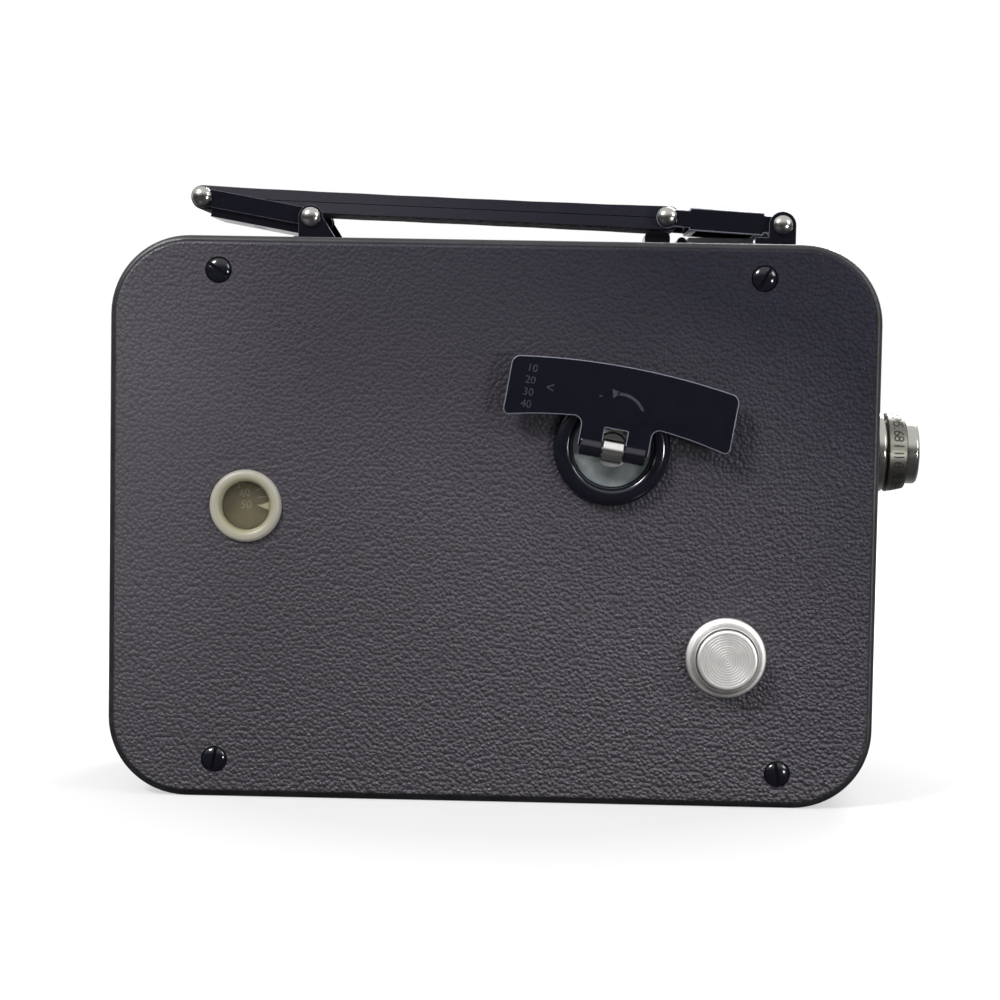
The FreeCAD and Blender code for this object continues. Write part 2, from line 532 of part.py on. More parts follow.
key_pin_z = place("key_pin_z", winder_z - key_pin_drop, "key hinge pin")
click_pivot_x = place("click_pivot_x", winder_x + click_x, "click pivot")
click_pivot_z = place("click_pivot_z", winder_z + click_z, "click pivot")
bracket_far = place("bracket_far", gate_x - bracket_back, "pressure bracket, gate side")
bracket_top = place("bracket_top", body_height + bracket_thickness, "bracket plates")
rest_top = place("rest_top", body_height + front_high_z - strap_thickness / 2 - rest_gap,
                 "top of the handle rest")
shoe_top = place("shoe_top", body_height + front_foot_height, "raised bracket plate")
sector_near = place("sector_near", partition_place - sector_place, "sector, cover side")
sector_far = place("sector_far", sector_near + sector_thickness, "sector, partition side")
sprocket_end = place("sprocket_end", film_middle + perforation_spacing / 2 + sprocket_rim / 2,
                     "sprocket, door side")
lens_tube_end = place("lens_tube_end", half_length + lens_tube_length, "lens tube end")
rear_pivot_z = place("rear_pivot_z", body_height + rear_low_z, "rear sight pivot")
rear_strap_z = place("rear_strap_z", body_height + rear_high_z, "strap pin at the rear")
front_pivot_z = place("front_pivot_z", body_height + front_low_z, "front sight pivot")
front_strap_z = place("front_strap_z", body_height + front_high_z, "strap pin at the front")


def distance(start, end):
    """The length of the line between two points."""
    run = end[0] - start[0]
    rise = end[1] - start[1]
    return square_root(run * run + rise * rise)


def droop(start, end):
    """The turn about Y that lays +X along the line between two points."""
    return slope(start[1] - end[1], end[0] - start[0])


rear_pivot = (rear_low_x, rear_pivot_z)
front_pivot = (front_low_x, front_pivot_z)
rear_strap_pin = (rear_high_x, rear_strap_z)
front_strap_pin = (front_high_x, front_strap_z)
rear_link = place("rear_link", distance(rear_strap_pin, rear_pivot), "rear sight, its pins apart")
front_link = place("front_link", distance(front_strap_pin, front_pivot),
                   "front sight, its pins apart")
strap_length = place("strap_length", distance(rear_strap_pin, front_strap_pin),
                     "strap, its pins apart")
rear_slope = place("rear_slope", droop(rear_strap_pin, rear_pivot), "rear sight, degrees")
front_slope = place("front_slope", droop(front_strap_pin, front_pivot), "front sight, degrees")
strap_slope = place("strap_slope", droop(rear_strap_pin, front_strap_pin), "strap, degrees")

# Building blocks


def bind(target, prop, value):
    """Ties a property to the sheets, or sets it when it is a bare number."""
    if isinstance(value, Size):
        target.setExpression(prop, value.text)
    elif "." in prop:
        target.setExpression(prop, repr(value))
    else:
        setattr(target, prop, value)


def set_base(target, x, y, z):
    for axis, value in (("x", x), ("y", y), ("z", z)):
        bind(target, "Placement.Base." + axis, value)


def box(name, x, y, z):
    """A block between two places on each axis."""
    block = document.addObject("Part::Box", name)
    for prop, span in (("Length", x), ("Width", y), ("Height", z)):
        bind(block, prop, span[1] - span[0])
    set_base(block, x[0], y[0], z[0])
    return block


TURN_TO = {
    "X": FreeCAD.Rotation(Vector(0, 1, 0), 90),
    "Y": FreeCAD.Rotation(Vector(1, 0, 0), -90),
    "Z": FreeCAD.Rotation(),
}


def axis_base(axis, centre, start):
    """The point at a place along an axis, beside which the centre's two coordinates stand."""
    first, second = centre
    return {"X": (start, first, second), "Y": (first, start, second),
            "Z": (first, second, start)}[axis]


def rod(name, axis, centre, span, radius):
    """A cylinder along an axis, centred on the two other coordinates."""
    cylinder = document.addObject("Part::Cylinder", name)
    bind(cylinder, "Radius", radius)
    bind(cylinder, "Height", span[1] - span[0])
    cylinder.Placement = FreeCAD.Placement(Vector(), TURN_TO[axis])
    set_base(cylinder, *axis_base(axis, centre, span[0]))
    return cylinder


def fuse(name, *pieces):
    joined_piece = document.addObject("Part::MultiFuse", name)
    joined_piece.Shapes = list(pieces)
    joined_piece.Refine = True
    return joined_piece


def cut(name, base, *tools):
    result = document.addObject("Part::Cut", name)
    result.Base = base
    result.Tool = tools[0] if len(tools) == 1 else fuse(name + "_tools", *tools)
    result.Refine = True
    return result


def common(name, *pieces):
    result = document.addObject("Part::MultiCommon", name)
    result.Shapes = list(pieces)
    return result


def together(name, *pieces):
    """Several solids under one name."""
    group = document.addObject("Part::Compound", name)
    group.Links = list(pieces)
    return group


def sub_part(node, piece):
    piece.Label = node
    sub_parts.append(piece)
    return piece


def new_sketch(body, plane, offset):
    """A sketch on one of the body's own planes, moved by an offset in the plane's axes."""
    sketch = body.newObject("Sketcher::SketchObject", body.Name + "_sketch")
    origin_plane = [feature for feature in body.Origin.OriginFeatures if feature.Role == plane][0]
    sketch.AttachmentSupport = [(origin_plane, "")]
    sketch.MapMode = "FlatFace"
    for axis, value in zip("xyz", offset):
        bind(sketch, ".AttachmentOffset.Base." + axis, value)
    return sketch


def constrain(sketch, kind, item, point, value):
    """Fixes a point's distance from the sketch's origin."""
    row = sketch.addConstraint(Sketcher.Constraint(kind, -1, 1, item, point, number_of(value)))
    if isinstance(value, Size):
        sketch.setExpression("Constraints[%d]" % row, value.text)


def add_loop(sketch, points, arcs=None):
    """A closed outline through the points; arcs gives the radius of an edge, by its number,
    positive where it bulges to the right of its direction."""
    arcs = arcs or {}
    corners = [Vector(number_of(x), number_of(y), 0) for x, y in points]
    items = []
    for index, start in enumerate(corners):
        end = corners[(index + 1) % len(corners)]
        if index in arcs:
            radius = number_of(arcs[index])
            half = (end - start).Length / 2
            rise = abs(radius) - math.sqrt(radius * radius - half * half)
            aside = Vector(end.y - start.y, start.x - end.x, 0).normalize()
            middle = (start + end) / 2 + aside * math.copysign(rise, radius)
            edge = Part.Arc(start, middle, end)
        else:
            edge = Part.LineSegment(start, end)
        items.append(sketch.addGeometry(edge, False))
    ends = []
    for index, item in enumerate(items):
        first = (sketch.getPoint(item, 1) - corners[index]).Length
        last = (sketch.getPoint(item, 2) - corners[index]).Length
        ends.append((1, 2) if first < last else (2, 1))
    for index, item in enumerate(items):
        follower = (index + 1) % len(items)
        sketch.addConstraint(Sketcher.Constraint("Coincident", item, ends[index][1],
                                                 items[follower], ends[follower][0]))
        constrain(sketch, "DistanceX", item, ends[index][0], points[index][0])
        constrain(sketch, "DistanceY", item, ends[index][0], points[index][1])
        if index in arcs:
            row = sketch.addConstraint(Sketcher.Constraint("Radius", item,
                                                           abs(number_of(arcs[index]))))
            if isinstance(arcs[index], Size):
                sketch.setExpression("Constraints[%d]" % row, "abs(%s)" % arcs[index].text)


PLANE_OF = {"X": "YZ_Plane", "Y": "XZ_Plane", "Z": "XY_Plane"}


def prism(name, axis, span, points, arcs=None):
    """A plate with an outline, between two places along an axis."""
    body = document.addObject("PartDesign::Body", name)
    # The XZ plane looks along -Y, so its sketch stands at the far end and pads back
    height = -span[1] if axis == "Y" else span[0]
    sketch = new_sketch(body, PLANE_OF[axis], (0, 0, height))
    add_loop(sketch, points, arcs)
    pad = body.newObject("PartDesign::Pad", name + "_pad")
    pad.Profile = sketch
    bind(pad, "Length", span[1] - span[0])
    sketch.Visibility = False
    return body


def turned(name, axis, centre, points, arcs=None):
    """A turned piece: the points give the place along the axis and the radius."""
    body = document.addObject("PartDesign::Body", name)
    first, second = centre
    if axis == "X":
        sketch = new_sketch(body, "XY_Plane", (0, first, second))
        profile, line = [(along, radius) for along, radius in points], "H_Axis"
    elif axis == "Y":
        sketch = new_sketch(body, "XY_Plane", (first, 0, second))
        profile, line = [(radius, along) for along, radius in points], "V_Axis"
    else:
        sketch = new_sketch(body, "XZ_Plane", (first, 0, -second))
        profile, line = [(radius, along) for along, radius in points], "V_Axis"
    add_loop(sketch, profile, arcs)
    revolution = body.newObject("PartDesign::Revolution", name + "_turned")
    revolution.Profile = sketch
    revolution.ReferenceAxis = (sketch, [line])
    revolution.Angle = 360
    return body


def round_edges(body, radius, chosen):
    """Rounds the edges of the body that a test chooses."""
    document.recompute()
    tip = body.Tip
    names = ["Edge%d" % (number + 1) for number, edge in enumerate(tip.Shape.Edges) if chosen(edge)]
    fillet = body.newObject("PartDesign::Fillet", body.Name + "_rounding")
    fillet.Base = (tip, names)
    bind(fillet, "Radius", radius)
    return body


def along_axis(edge, axis):
    """True for a straight edge that runs along an axis."""
    if edge.Curve.TypeId != "Part::GeomLine":
        return False
    direction = edge.tangentAt(edge.FirstParameter)
    return abs(getattr(direction, axis.lower())) > 0.999


def slab(name, axis, first, second, span, corner):
    """A plate with four rounded corners."""
    points = [(first[0], second[0]), (first[1], second[0]), (first[1], second[1]),
              (first[0], second[1])]
    body = prism(name, axis, span, points)
    return round_edges(body, corner, lambda edge: along_axis(edge, axis))


def outline(name, inset, span):
    """A plate with the outline of the case, drawn in by an inset."""
    return slab(name, "Y", (-half_length + inset, half_length - inset),
                (0 + inset, body_height - inset), span, corner_radius - inset)


def stepped(name, axis, centre, steps, bore=None):
    """A turned piece from a row of (start, end, radius) steps, with an optional bore."""
    inner = 0 if bore is None else bore
    points = [(steps[0][0], inner)]
    for start, end, radius in steps:
        points += [(start, radius), (end, radius)]
    points.append((steps[-1][1], inner))
    tidy = []
    for point in points:
        if not tidy or any(abs(number_of(a) - number_of(b)) > 1e-6 for a, b in zip(tidy[-1], point)):
            tidy.append(point)
    return turned(name, axis, centre, tidy)


def capsule(name, start, end, radius, y):
    """A link plate with round ends, along X at the height of its row."""
    bar = box(name + "_bar", (start, end), y, (-radius, radius))
    ends = [rod(name + "_end", "Y", (place_x, 0), y, radius) for place_x in (start, end)]
    return fuse(name, bar, *ends)


def extruded(name, face, start, end):
    """A flat face in the XZ plane, made solid between two places along Y."""
    feature = document.addObject("Part::Feature", name)
    solid = face.extrude(Vector(0, number_of(end) - number_of(start), 0))
    solid.translate(Vector(0, number_of(start), 0))
    feature.Shape = solid
    return feature


def polar(centre, radius, angle):
    """A point round a centre in the XZ plane, the angle in degrees from +X towards +Z."""
    turn = math.radians(angle)
    return Vector(number_of(centre[0]) + radius * math.cos(turn), 0,
                  number_of(centre[1]) + radius * math.sin(turn))


PRESSURE_ANGLE = math.radians(20)
FLANK_STEPS = 3


def tooth_half_angle(radius, pitch, base, half_at_pitch):
    """Half the angle of an involute tooth at a radius."""
    def roll(at):
        ratio = min(1.0, base / at)
        angle = math.acos(ratio)
        return math.tan(angle) - angle
    return half_at_pitch + roll(pitch) - roll(max(radius, base))


def gear_face(centre, teeth, module, phase, first=0, count=None):
    """The outline of a spur gear with its first tooth at an angle; a part of the teeth
    makes a sector with its corner at the centre."""
    teeth = int(round(number_of(teeth)))
    module = number_of(module)
    count = teeth if count is None else count
    pitch = module * teeth / 2
    tip = pitch + module
    root = pitch - number_of(tooth_root) * module
    base = pitch * math.cos(PRESSURE_ANGLE)
    half_at_pitch = math.pi / (2 * teeth) - number_of(backlash) / (2 * teeth)
    start = max(root, base)
    radii = [start + (tip - start) * step / FLANK_STEPS for step in range(FLANK_STEPS + 1)]
    if root < base:
        radii.insert(0, root)
    points = []
    for number in range(first, first + count):
        middle = phase + 360.0 * number / teeth
        halves = [math.degrees(tooth_half_angle(r, pitch, base, half_at_pitch)) for r in radii]
        points += [polar(centre, r, middle - half) for r, half in zip(radii, halves)]
        points += [polar(centre, r, middle + half)
                   for r, half in zip(reversed(radii), reversed(halves))]
    if count < teeth:
        points.append(polar(centre, 0, 0))
    return Part.Face(Part.makePolygon(points + points[:1]))


def gear(name, centre, teeth, module, span, phase, bore=None):
    """A spur gear that takes the spindle in its bore."""
    wheel = extruded(name + "_teeth", gear_face(centre, teeth, module, phase), *span)
    if bore is None:
        return wheel
    return cut(name, wheel, rod(name + "_bore", "Y", centre, (span[0] - 1, span[1] + 1), bore))


def direction(start, end):
    """The angle from one axis to another in the XZ plane, in degrees."""
    return math.degrees(math.atan2(number_of(end[1]) - number_of(start[1]),
                                   number_of(end[0]) - number_of(start[0])))


def meshing_phase(wheel, wheel_count, wheel_phase, pinion, pinion_count):
    """The angle of a pinion's tooth that puts a gap where the wheel has a tooth."""
    wheel_count = number_of(wheel_count)
    pinion_count = number_of(pinion_count)
    angle = direction(wheel, pinion)
    aside = (angle - wheel_phase) % (360.0 / wheel_count)
    return angle + 180 + aside * wheel_count / pinion_count + 180.0 / pinion_count


winder = (winder_x, winder_z)
sprocket = (sprocket_x, sprocket_z)
middle = (middle_x, middle_z)
shutter_axis = (shutter_x, shutter_z)
governor = (governor_x, governor_z)
dial = (dial_x, window_z)
feeler = (feeler_x, feeler_z)
click = (click_pivot_x, click_pivot_z)
claw_guide = (claw_guide_x, claw_guide_z)
button = (button_x, button_z)
window = (window_x, window_z)
lens = (lens_y, lens_z)
takeup = (takeup_x, spools_z)
supply = (supply_x, spools_z)
lock = (lock_x, lock_z)
screws = [(-screw_left, screw_low), (-screw_left, screw_high),
          (screw_low_right, screw_right_low), (screw_high_right, screw_high)]
PILLAR_ANGLES = (148, 98, 238, -62)
pillars = [(winder_x + pillar_distance * cosine(angle), winder_z + pillar_distance * sine(angle))
           for angle in PILLAR_ANGLES]
board_screws = [(lens_y + side * (board_half_width - board_screw_inset),
                 lens_z + end * (board_half_height - board_screw_inset))
                for side in (-1, 1) for end in (-1, 1)]
bracket_screws = [(x, side * bracket_screw_y)
                  for x in (rear_low_x + rear_ear_radius, front_low_x) for side in (-1, 1)]
flange_sides = ((-flange_place - link_flange, -flange_place),
                (flange_place, flange_place + link_flange))
coarse_over = (pinion_height - great_thickness) / 2
coarse_pinion_span = (great_near - coarse_over, great_far + coarse_over)
fine_over = (fine_pinion_height - fine_wheel_thickness) / 2
fine_pinion_span = (fine_near - fine_over, fine_far + fine_over)
great_phase = 0.0
wheel_phase = 0.0
SECTOR_BEFORE, SECTOR_AFTER = 6, 1
HINGE_KNUCKLES = 5


def crown_radius(reach, height):
    """The radius of a crown with its centre on the axis, up to the small flat at its top."""
    depth = (reach * reach - crown_flat * crown_flat + height * height) / (height * 2)
    return square_root(depth * depth + crown_flat * crown_flat)


# The case


def build_case_frame():
    block = outline("case_block", leather, (cover_inner, band_end))
    mechanism = outline("mechanism_space", leather + wall, (cover_inner - 1, partition_place))
    film = outline("film_space", leather + wall, (partition_far, band_end + 1))
    band = cut("case_band", block, mechanism, film)
    posts = [rod("post", "Y", at, (cover_inner, partition_place), post_radius) for at in screws]
    sleeve = rod("button_sleeve", "Y", button, (guide_end, partition_place), guide_radius)
    keeper = box("keeper", (inner_front - keeper_depth, inner_front + wall / 2),
                 (keeper_near, keeper_far), (lock_z - cam_half * 2, lock_z + cam_half * 2))
    claw_pin = rod("claw_pin", "Y", claw_guide, (partition_far, claw_far + play), claw_pin_radius)
    solid = fuse("case_solid", band, *posts, sleeve, keeper, claw_pin)

    through = (partition_place - 1, partition_far + 1)
    blind = (partition_place - 1, partition_place + shaft_end_length + fit)
    screw_end = cover_outer + screw_length + seat_gap
    holes = [rod("screw_hole", "Y", at, (cover_inner - 1, screw_end), screw_shank_radius + seat_gap)
             for at in screws]
    holes += [rod("shaft_hole", "Y", at, through, shaft_radius + fit)
              for at in (sprocket, shutter_axis, feeler)]
    holes += [rod("spindle_hole", "Y", at, through, film_spindle_radius + fit)
              for at in (takeup, supply)]
    holes += [rod("bearing", "Y", at, blind, shaft_end_radius + fit)
              for at in (middle, governor, dial)]
    holes.append(rod("arbor_bearing", "Y", winder, blind, pivot_radius + fit))
    holes.append(rod("stem_hole", "Y", button, (guide_end - 1, partition_place),
                     button_stem + fit))
    holes.append(rod("lens_hole", "X", lens, (inner_front - 1, half_length + 1),
                     tube_radius + seat_gap))
    holes.append(bush_square("bush_hole", (-1, inner_base + 1), seat_gap))
    flange = (-bush_flange - seat_gap, bush_flange + seat_gap)
    holes.append(box("bush_space", flange, flange, (inner_base, bush_height + seat_gap)))
    holes += small_screw_holes()
    return cut("case_frame", solid, *holes)


def small_screw_holes():
    """Holes of the lens board's screws and of the brackets' screws."""
    radius = small_shank_radius + seat_gap
    front = [rod("board_hole", "X", at, (inner_front - 1, half_length + board_thickness), radius)
             for at in board_screws]
    top = [rod("bracket_hole", "Z", at, (inner_top - 1, body_height + bracket_thickness), radius)
           for at in bracket_screws]
    return front + top


def bush_square(name, span, grown):
    """The square that keeps the tripod bush from turning in the wall."""
    reach = (-bush_radius - grown, bush_radius + grown)
    return slab(name, "Z", reach, reach, span, bush_corner + grown)


def build_case_leather():
    skin = outline("leather_block", 0, (cover_inner, band_end))
    inside = outline("leather_inside", leather, (cover_inner - 1, band_end + 1))
    plate = base_plate_block("leather_base_hole", (-1, leather + 1), seat_gap)
    lens_hole = rod("leather_lens_hole", "X", lens, (inner_front - 1, half_length + 1),
                    tube_radius + seat_gap)
    return cut("case_leather", skin, inside, plate, lens_hole, *small_screw_holes())


def base_plate_block(name, span, grown):
    half_x = base_plate_length / 2 + grown
    half_y = base_plate_width / 2 + grown
    return slab(name, "Z", (-half_x, half_x), (-half_y, half_y), span, base_plate_rounding + grown)


def build_base_plate():
    plate = base_plate_block("base_plate_block", (0, leather), 0)
    hole = rod("base_plate_hole", "Z", (0, 0), (-1, leather + 1), bush_radius + seat_gap)
    return cut("base_plate", plate, hole)


def build_tripod_bush():
    flange_top = inner_base + leather * 2
    steps = stepped("bush_steps", "Z", (0, 0), [(0, inner_base, bush_radius),
                                                (inner_base, flange_top, bush_flange),
                                                (flange_top, bush_height, bush_radius)])
    bush = fuse("bush_block", steps, bush_square("bush_neck", (leather, inner_base), 0))
    socket = rod("tripod_socket", "Z", (0, 0), (-1, socket_depth), socket_radius)
    return cut("tripod_bush", bush, socket)


def in_plane(edge, axis, level):
    """True for an edge that lies in a plane across an axis."""
    reach = edge.BoundBox
    low, high = getattr(reach, axis + "Min"), getattr(reach, axis + "Max")
    return abs(low - number_of(level)) < 1e-4 and abs(high - number_of(level)) < 1e-4


def build_mechanism_cover():
    plate = outline("cover_block", 0, (cover_outer, cover_inner))
    round_edges(plate, cover_rounding, lambda edge: in_plane(edge, "Y", cover_outer))
    span = (cover_outer - 1, cover_inner + 1)
    holes = [rod("cover_cup_hole", "Y", winder, span, cup_neck_radius + seat_gap),
             rod("cover_window", "Y", window, span, bezel_bore + pane_thickness + seat_gap),
             rod("cover_button_hole", "Y", button, span, button_radius + fit)]
    holes += [rod("cover_screw_hole", "Y", at, span, screw_shank_radius + seat_gap)
              for at in screws]
    return cut("mechanism_cover", plate, *holes)


def build_side_leather():
    panel = outline("panel_block", leather_inset, (near_face, cover_outer))
    round_edges(panel, leather_rounding, lambda edge: in_plane(edge, "Y", near_face))
    span = (near_face - 1, cover_outer + 1)
    holes = [rod("panel_cup_hole", "Y", winder, span, cup_radius + seat_gap),
             rod("panel_window", "Y", window, span, bezel_radius + seat_gap),
             rod("panel_button_hole", "Y", button, span, collar_radius + seat_gap)]
    holes += [rod("panel_screw_hole", "Y", at, span, screw_head_radius + seat_gap)
              for at in screws]
    return cut("side_leather", panel, *holes)


def build_cover_screws():
    pieces = []
    for at in screws:
        top = cover_outer - screw_head_height
        edge = cover_outer - screw_head_height / 3
        head = turned("screw_head", "Y", at,
                      [(top, 0), (top, crown_flat), (edge, screw_head_radius),
                       (cover_outer, screw_head_radius),
                       (cover_outer, screw_shank_radius),
                       (cover_outer + screw_length, screw_shank_radius),
                       (cover_outer + screw_length, 0)],
                      {1: -crown_radius(screw_head_radius, edge - top)})
        slot = box("screw_slot", (at[0] - screw_head_radius, at[0] + screw_head_radius),
                   (top - 1, top + screw_head_height / 2),
                   (at[1] - screw_slot / 2, at[1] + screw_slot / 2))
        pieces.append(cut("cover_screw", head, slot))
    return together("cover_screws", *pieces)


# The winding side


def build_key_cup():
    rim = cup_radius - cup_dish_radius
    floor = near_face - cup_floor
    bore = spindle_radius + play
    return turned("key_cup", "Y", winder,
                  [(floor, bore), (floor, cup_dish_radius - play), (floor - play, cup_dish_radius),
                   (cup_rim + 1, cup_dish_radius), (cup_rim, cup_dish_radius + rim * cup_crest),
                   (cup_rim + 2, cup_radius), (cover_outer, cup_radius),
                   (cover_outer, cup_neck_radius), (cover_inner, cup_neck_radius),
                   (cover_inner, bore)],
                  {3: -rim * cup_inner_curve, 4: -rim * cup_outer_curve})


def tilted(piece, height):
    """Turns a piece made round the key's hinge pin to the key's tilt."""
    angle = number_of(key_tilt)
    piece.Placement = FreeCAD.Placement(Vector(), FreeCAD.Rotation(Vector(0, 1, 0), angle))
    bind(piece, "Placement.Rotation.Angle", key_tilt)
    set_base(piece, winder_x, 0, height)
    return piece


def build_winding_spindle():
    lug_base = near_face - cup_floor - play
    lug = fuse("lug_shape",
               box("lug_block", (-lug_half, lug_half), (key_plane, lug_base),
                   (-lug_half_height, lug_half_height)),
               rod("lug_round", "X", (key_plane, 0), (-lug_half, lug_half), lug_half_height))
    pin_hole = rod("lug_hole", "X", (key_plane, 0), (-lug_half - 1, lug_half + 1), key_pin_radius)
    lug = tilted(cut("lug", lug, pin_hole), key_pin_z)
    shaft = stepped("arbor", "Y", winder,
                    [(lug_base - play, great_far - play, spindle_radius),
                     (great_far - play, partition_place + shaft_end_length, pivot_radius)])
    return fuse("winding_spindle", lug, shaft)


def build_key_hinge_pin():
    pin = rod("key_pin", "X", (key_plane, 0), (-knuckle_reach, knuckle_reach), key_pin_radius)
    return tilted(together("key_hinge_pin", pin), key_pin_z)


def arc_height(apex, radius, aside):
    """The height of an arc beside its highest point."""
    return apex - radius + square_root(radius * radius - aside * aside)


def build_winding_key():
    end_low = arc_height(key_low, key_low_radius, key_wing_half)
    end_top = arc_height(key_top, key_top_radius, key_wing_half)
    neck_top = arc_height(key_low, key_low_radius, key_neck_half)
    span = (key_far - key_thickness, key_far)
    plate = prism("key_plate", "Y", span,
                  [(-key_wing_half, end_low), (-key_neck_half, neck_top), (-key_neck_half, 0),
                   (key_neck_half, 0), (key_neck_half, neck_top), (key_wing_half, end_low),
                   (key_wing_half, end_top), (-key_wing_half, end_top)],
                  {0: -key_low_radius, 4: -key_low_radius, 6: key_top_radius})
    wing_end = number_of(key_wing_half)
    round_edges(plate, key_corner,
                lambda edge: along_axis(edge, "Y") and abs(edge.CenterOfMass.x) > wing_end - 0.01)
    round_edges(plate, key_neck_fillet,
                lambda edge: along_axis(edge, "Y") and edge.CenterOfMass.z > 1
                and abs(abs(edge.CenterOfMass.x) - number_of(key_neck_half)) < 0.01)
    knuckles = [rod("knuckle", "X", (key_plane, 0), span_x, knuckle_radius)
                for span_x in ((-knuckle_reach, -key_slot_half), (key_slot_half, knuckle_reach))]
    solid = fuse("key_solid", plate, *knuckles)
    slot = box("key_slot", (-key_slot_half, key_slot_half),
               (key_plane - knuckle_radius * 2, key_plane + knuckle_radius * 2),
               (-knuckle_radius * 2, key_slot_top))
    pin_hole = rod("knuckle_hole", "X", (key_plane, 0), (-knuckle_reach - 1, knuckle_reach + 1),
                   key_pin_radius + fit)
    return tilted(cut("winding_key", solid, slot, pin_hole), key_pin_z)


def build_counter_bezel():
    top = near_face - bezel_height
    tube = bezel_bore + pane_thickness
    ring = turned("bezel_ring", "Y", window,
                  [(top + play, bezel_bore), (top, bezel_bore + play), (top, bezel_radius - play * 2),
                   (near_face, bezel_radius), (cover_outer, bezel_radius), (cover_outer, tube),
                   (cover_inner, tube), (cover_inner, bezel_bore)])
    inner = window_x + bezel_bore
    tooth = prism("pointer", "Y", (cover_outer - pane_thickness, cover_outer),
                  [(inner + play, window_z - pointer_half), (inner + play, window_z + pointer_half),
                   (inner - pointer_reach, window_z)])
    return fuse("counter_bezel", ring, tooth)


def build_counter_glass():
    return rod("counter_glass", "Y", window, (cover_outer, cover_outer + pane_thickness),
               bezel_bore - fit)


def build_counter_dial():
    face = cover_inner + dial_thickness
    disc = rod("dial_disc", "Y", dial, (face, face + dial_thickness), dial_radius)
    arbor = stepped("dial_arbor", "Y", dial,
                    [(face, partition_place - side_gap, shaft_radius),
                     (partition_place - side_gap, partition_place + shaft_end_length,
                      shaft_end_radius)])
    span = (sector_near - dial_thickness, sector_far + dial_thickness)
    phase = direction(dial, feeler) + 180.0 / number_of(dial_pinion_teeth)
    pinion = gear("dial_pinion", dial, dial_pinion_teeth, coarse_module, span, phase)
    return fuse("counter_dial", disc, arbor, pinion)


def build_feeler_arm():
    shaft = rod("feeler_shaft", "Y", feeler, (sector_near - play, spool_far - 1), shaft_radius)
    count = SECTOR_BEFORE + SECTOR_AFTER + 1
    face = gear_face(feeler, sector_teeth, coarse_module, direction(feeler, dial),
                     -SECTOR_BEFORE, count)
    sector = extruded("sector", face, sector_near, sector_far)
    tip = (feeler_x + feeler_length * cosine(feeler_angle),
           feeler_z + feeler_length * sine(feeler_angle))
    lever = capsule("feeler_lever", 0, feeler_length, feeler_half,
                    (film_middle - 1, film_middle + 1))
    turn = -number_of(feeler_angle)
    lever.Placement = FreeCAD.Placement(Vector(), FreeCAD.Rotation(Vector(0, 1, 0), turn))
    bind(lever, "Placement.Rotation.Angle", -feeler_angle)
    set_base(lever, feeler_x, 0, feeler_z)
    roller = rod("feeler_roller", "Y", tip, (film_middle - 6, film_middle + 6), shaft_radius)
    return fuse("feeler_arm", shaft, sector, lever, roller)


def build_release_collar():
    mouth = button_radius + button_mouth
    top = near_face - collar_height
    return turned("release_collar", "Y", button,
                  [(top, mouth), (top, mouth + play * 2), (top + 1, mouth + play * 3),
                   (near_face, collar_radius), (cover_outer, collar_radius),
                   (cover_outer, mouth)], {0: play})


def build_release_button():
    flange_far = button_stop + button_flange_height
    return turned("release_button", "Y", button,
                  [(button_face, 0), (button_face, button_radius - play),
                   (button_face + play, button_radius), (button_stop + fit, button_radius),
                   (button_stop + fit, button_flange), (flange_far, button_flange),
                   (flange_far, button_stem), (guide_end + stem_overlap, button_stem),
                   (guide_end + stem_overlap, 0)])


def helix_point(radius, rise, turn):
    angle = 2 * math.pi * turn
    return Vector(radius * math.cos(angle), radius * math.sin(angle), rise * turn)


def helix_way(radius, rise, turn):
    angle = 2 * math.pi * turn
    return Vector(-2 * math.pi * radius * math.sin(angle),
                  2 * math.pi * radius * math.cos(angle), rise).normalize()


def arc_along(start, way, end):
    """The arc between two points that leaves the first one along a direction."""
    chord = end - start
    across = chord - way * chord.dot(way)
    radius = chord.Length ** 2 / (2 * across.Length)
    centre = start + across.normalize() * radius
    middle = centre + (start + end - centre * 2).normalize() * radius
    return Part.Arc(start, middle, end)


def coil(name, axis, centre, span, radius, wire, turns):
    """A round wire spring between two places along an axis, four pairs of arcs to a turn."""
    wire = number_of(wire)
    radius = number_of(radius)
    turns = int(round(number_of(turns)))
    rise = (number_of(span[1]) - number_of(span[0]) - 2 * wire) / turns
    edges = []
    for quarter in range(4 * turns):
        start, end = [helix_point(radius, rise, at / 4) for at in (quarter, quarter + 1)]
        leave, arrive = [helix_way(radius, rise, at / 4) for at in (quarter, quarter + 1)]
        chord = end - start
        spread = 1 - leave.dot(arrive)
        pull = chord.dot(leave + arrive)
        reach = (math.sqrt(pull * pull + 2 * spread * chord.dot(chord)) - pull) / (2 * spread)
        knee = (start + leave * reach + end - arrive * reach) / 2
        back = arc_along(end, arrive * -1, knee)
        turned_back = back.value((back.FirstParameter + back.LastParameter) / 2)
        edges += [arc_along(start, leave, knee).toShape(),
                  Part.Arc(knee, turned_back, end).toShape()]
    section = Part.Wire(Part.makeCircle(wire, helix_point(radius, rise, 0),
                                        helix_way(radius, rise, 0)))
    feature = document.addObject("Part::Feature", name)
    feature.Shape = Part.Wire(edges).makePipeShell([section], True, False)
    base = axis_base(axis, [number_of(value) for value in centre], number_of(span[0]) + wire)
    feature.Placement = FreeCAD.Placement(Vector(*base), TURN_TO[axis])
    return feature


def build_release_spring():
    start = button_stop + button_flange_height + play
    return coil("release_spring", "Y", button, (start, guide_end - side_gap), coil_radius,
                coil_wire, coil_turns)


# The lens


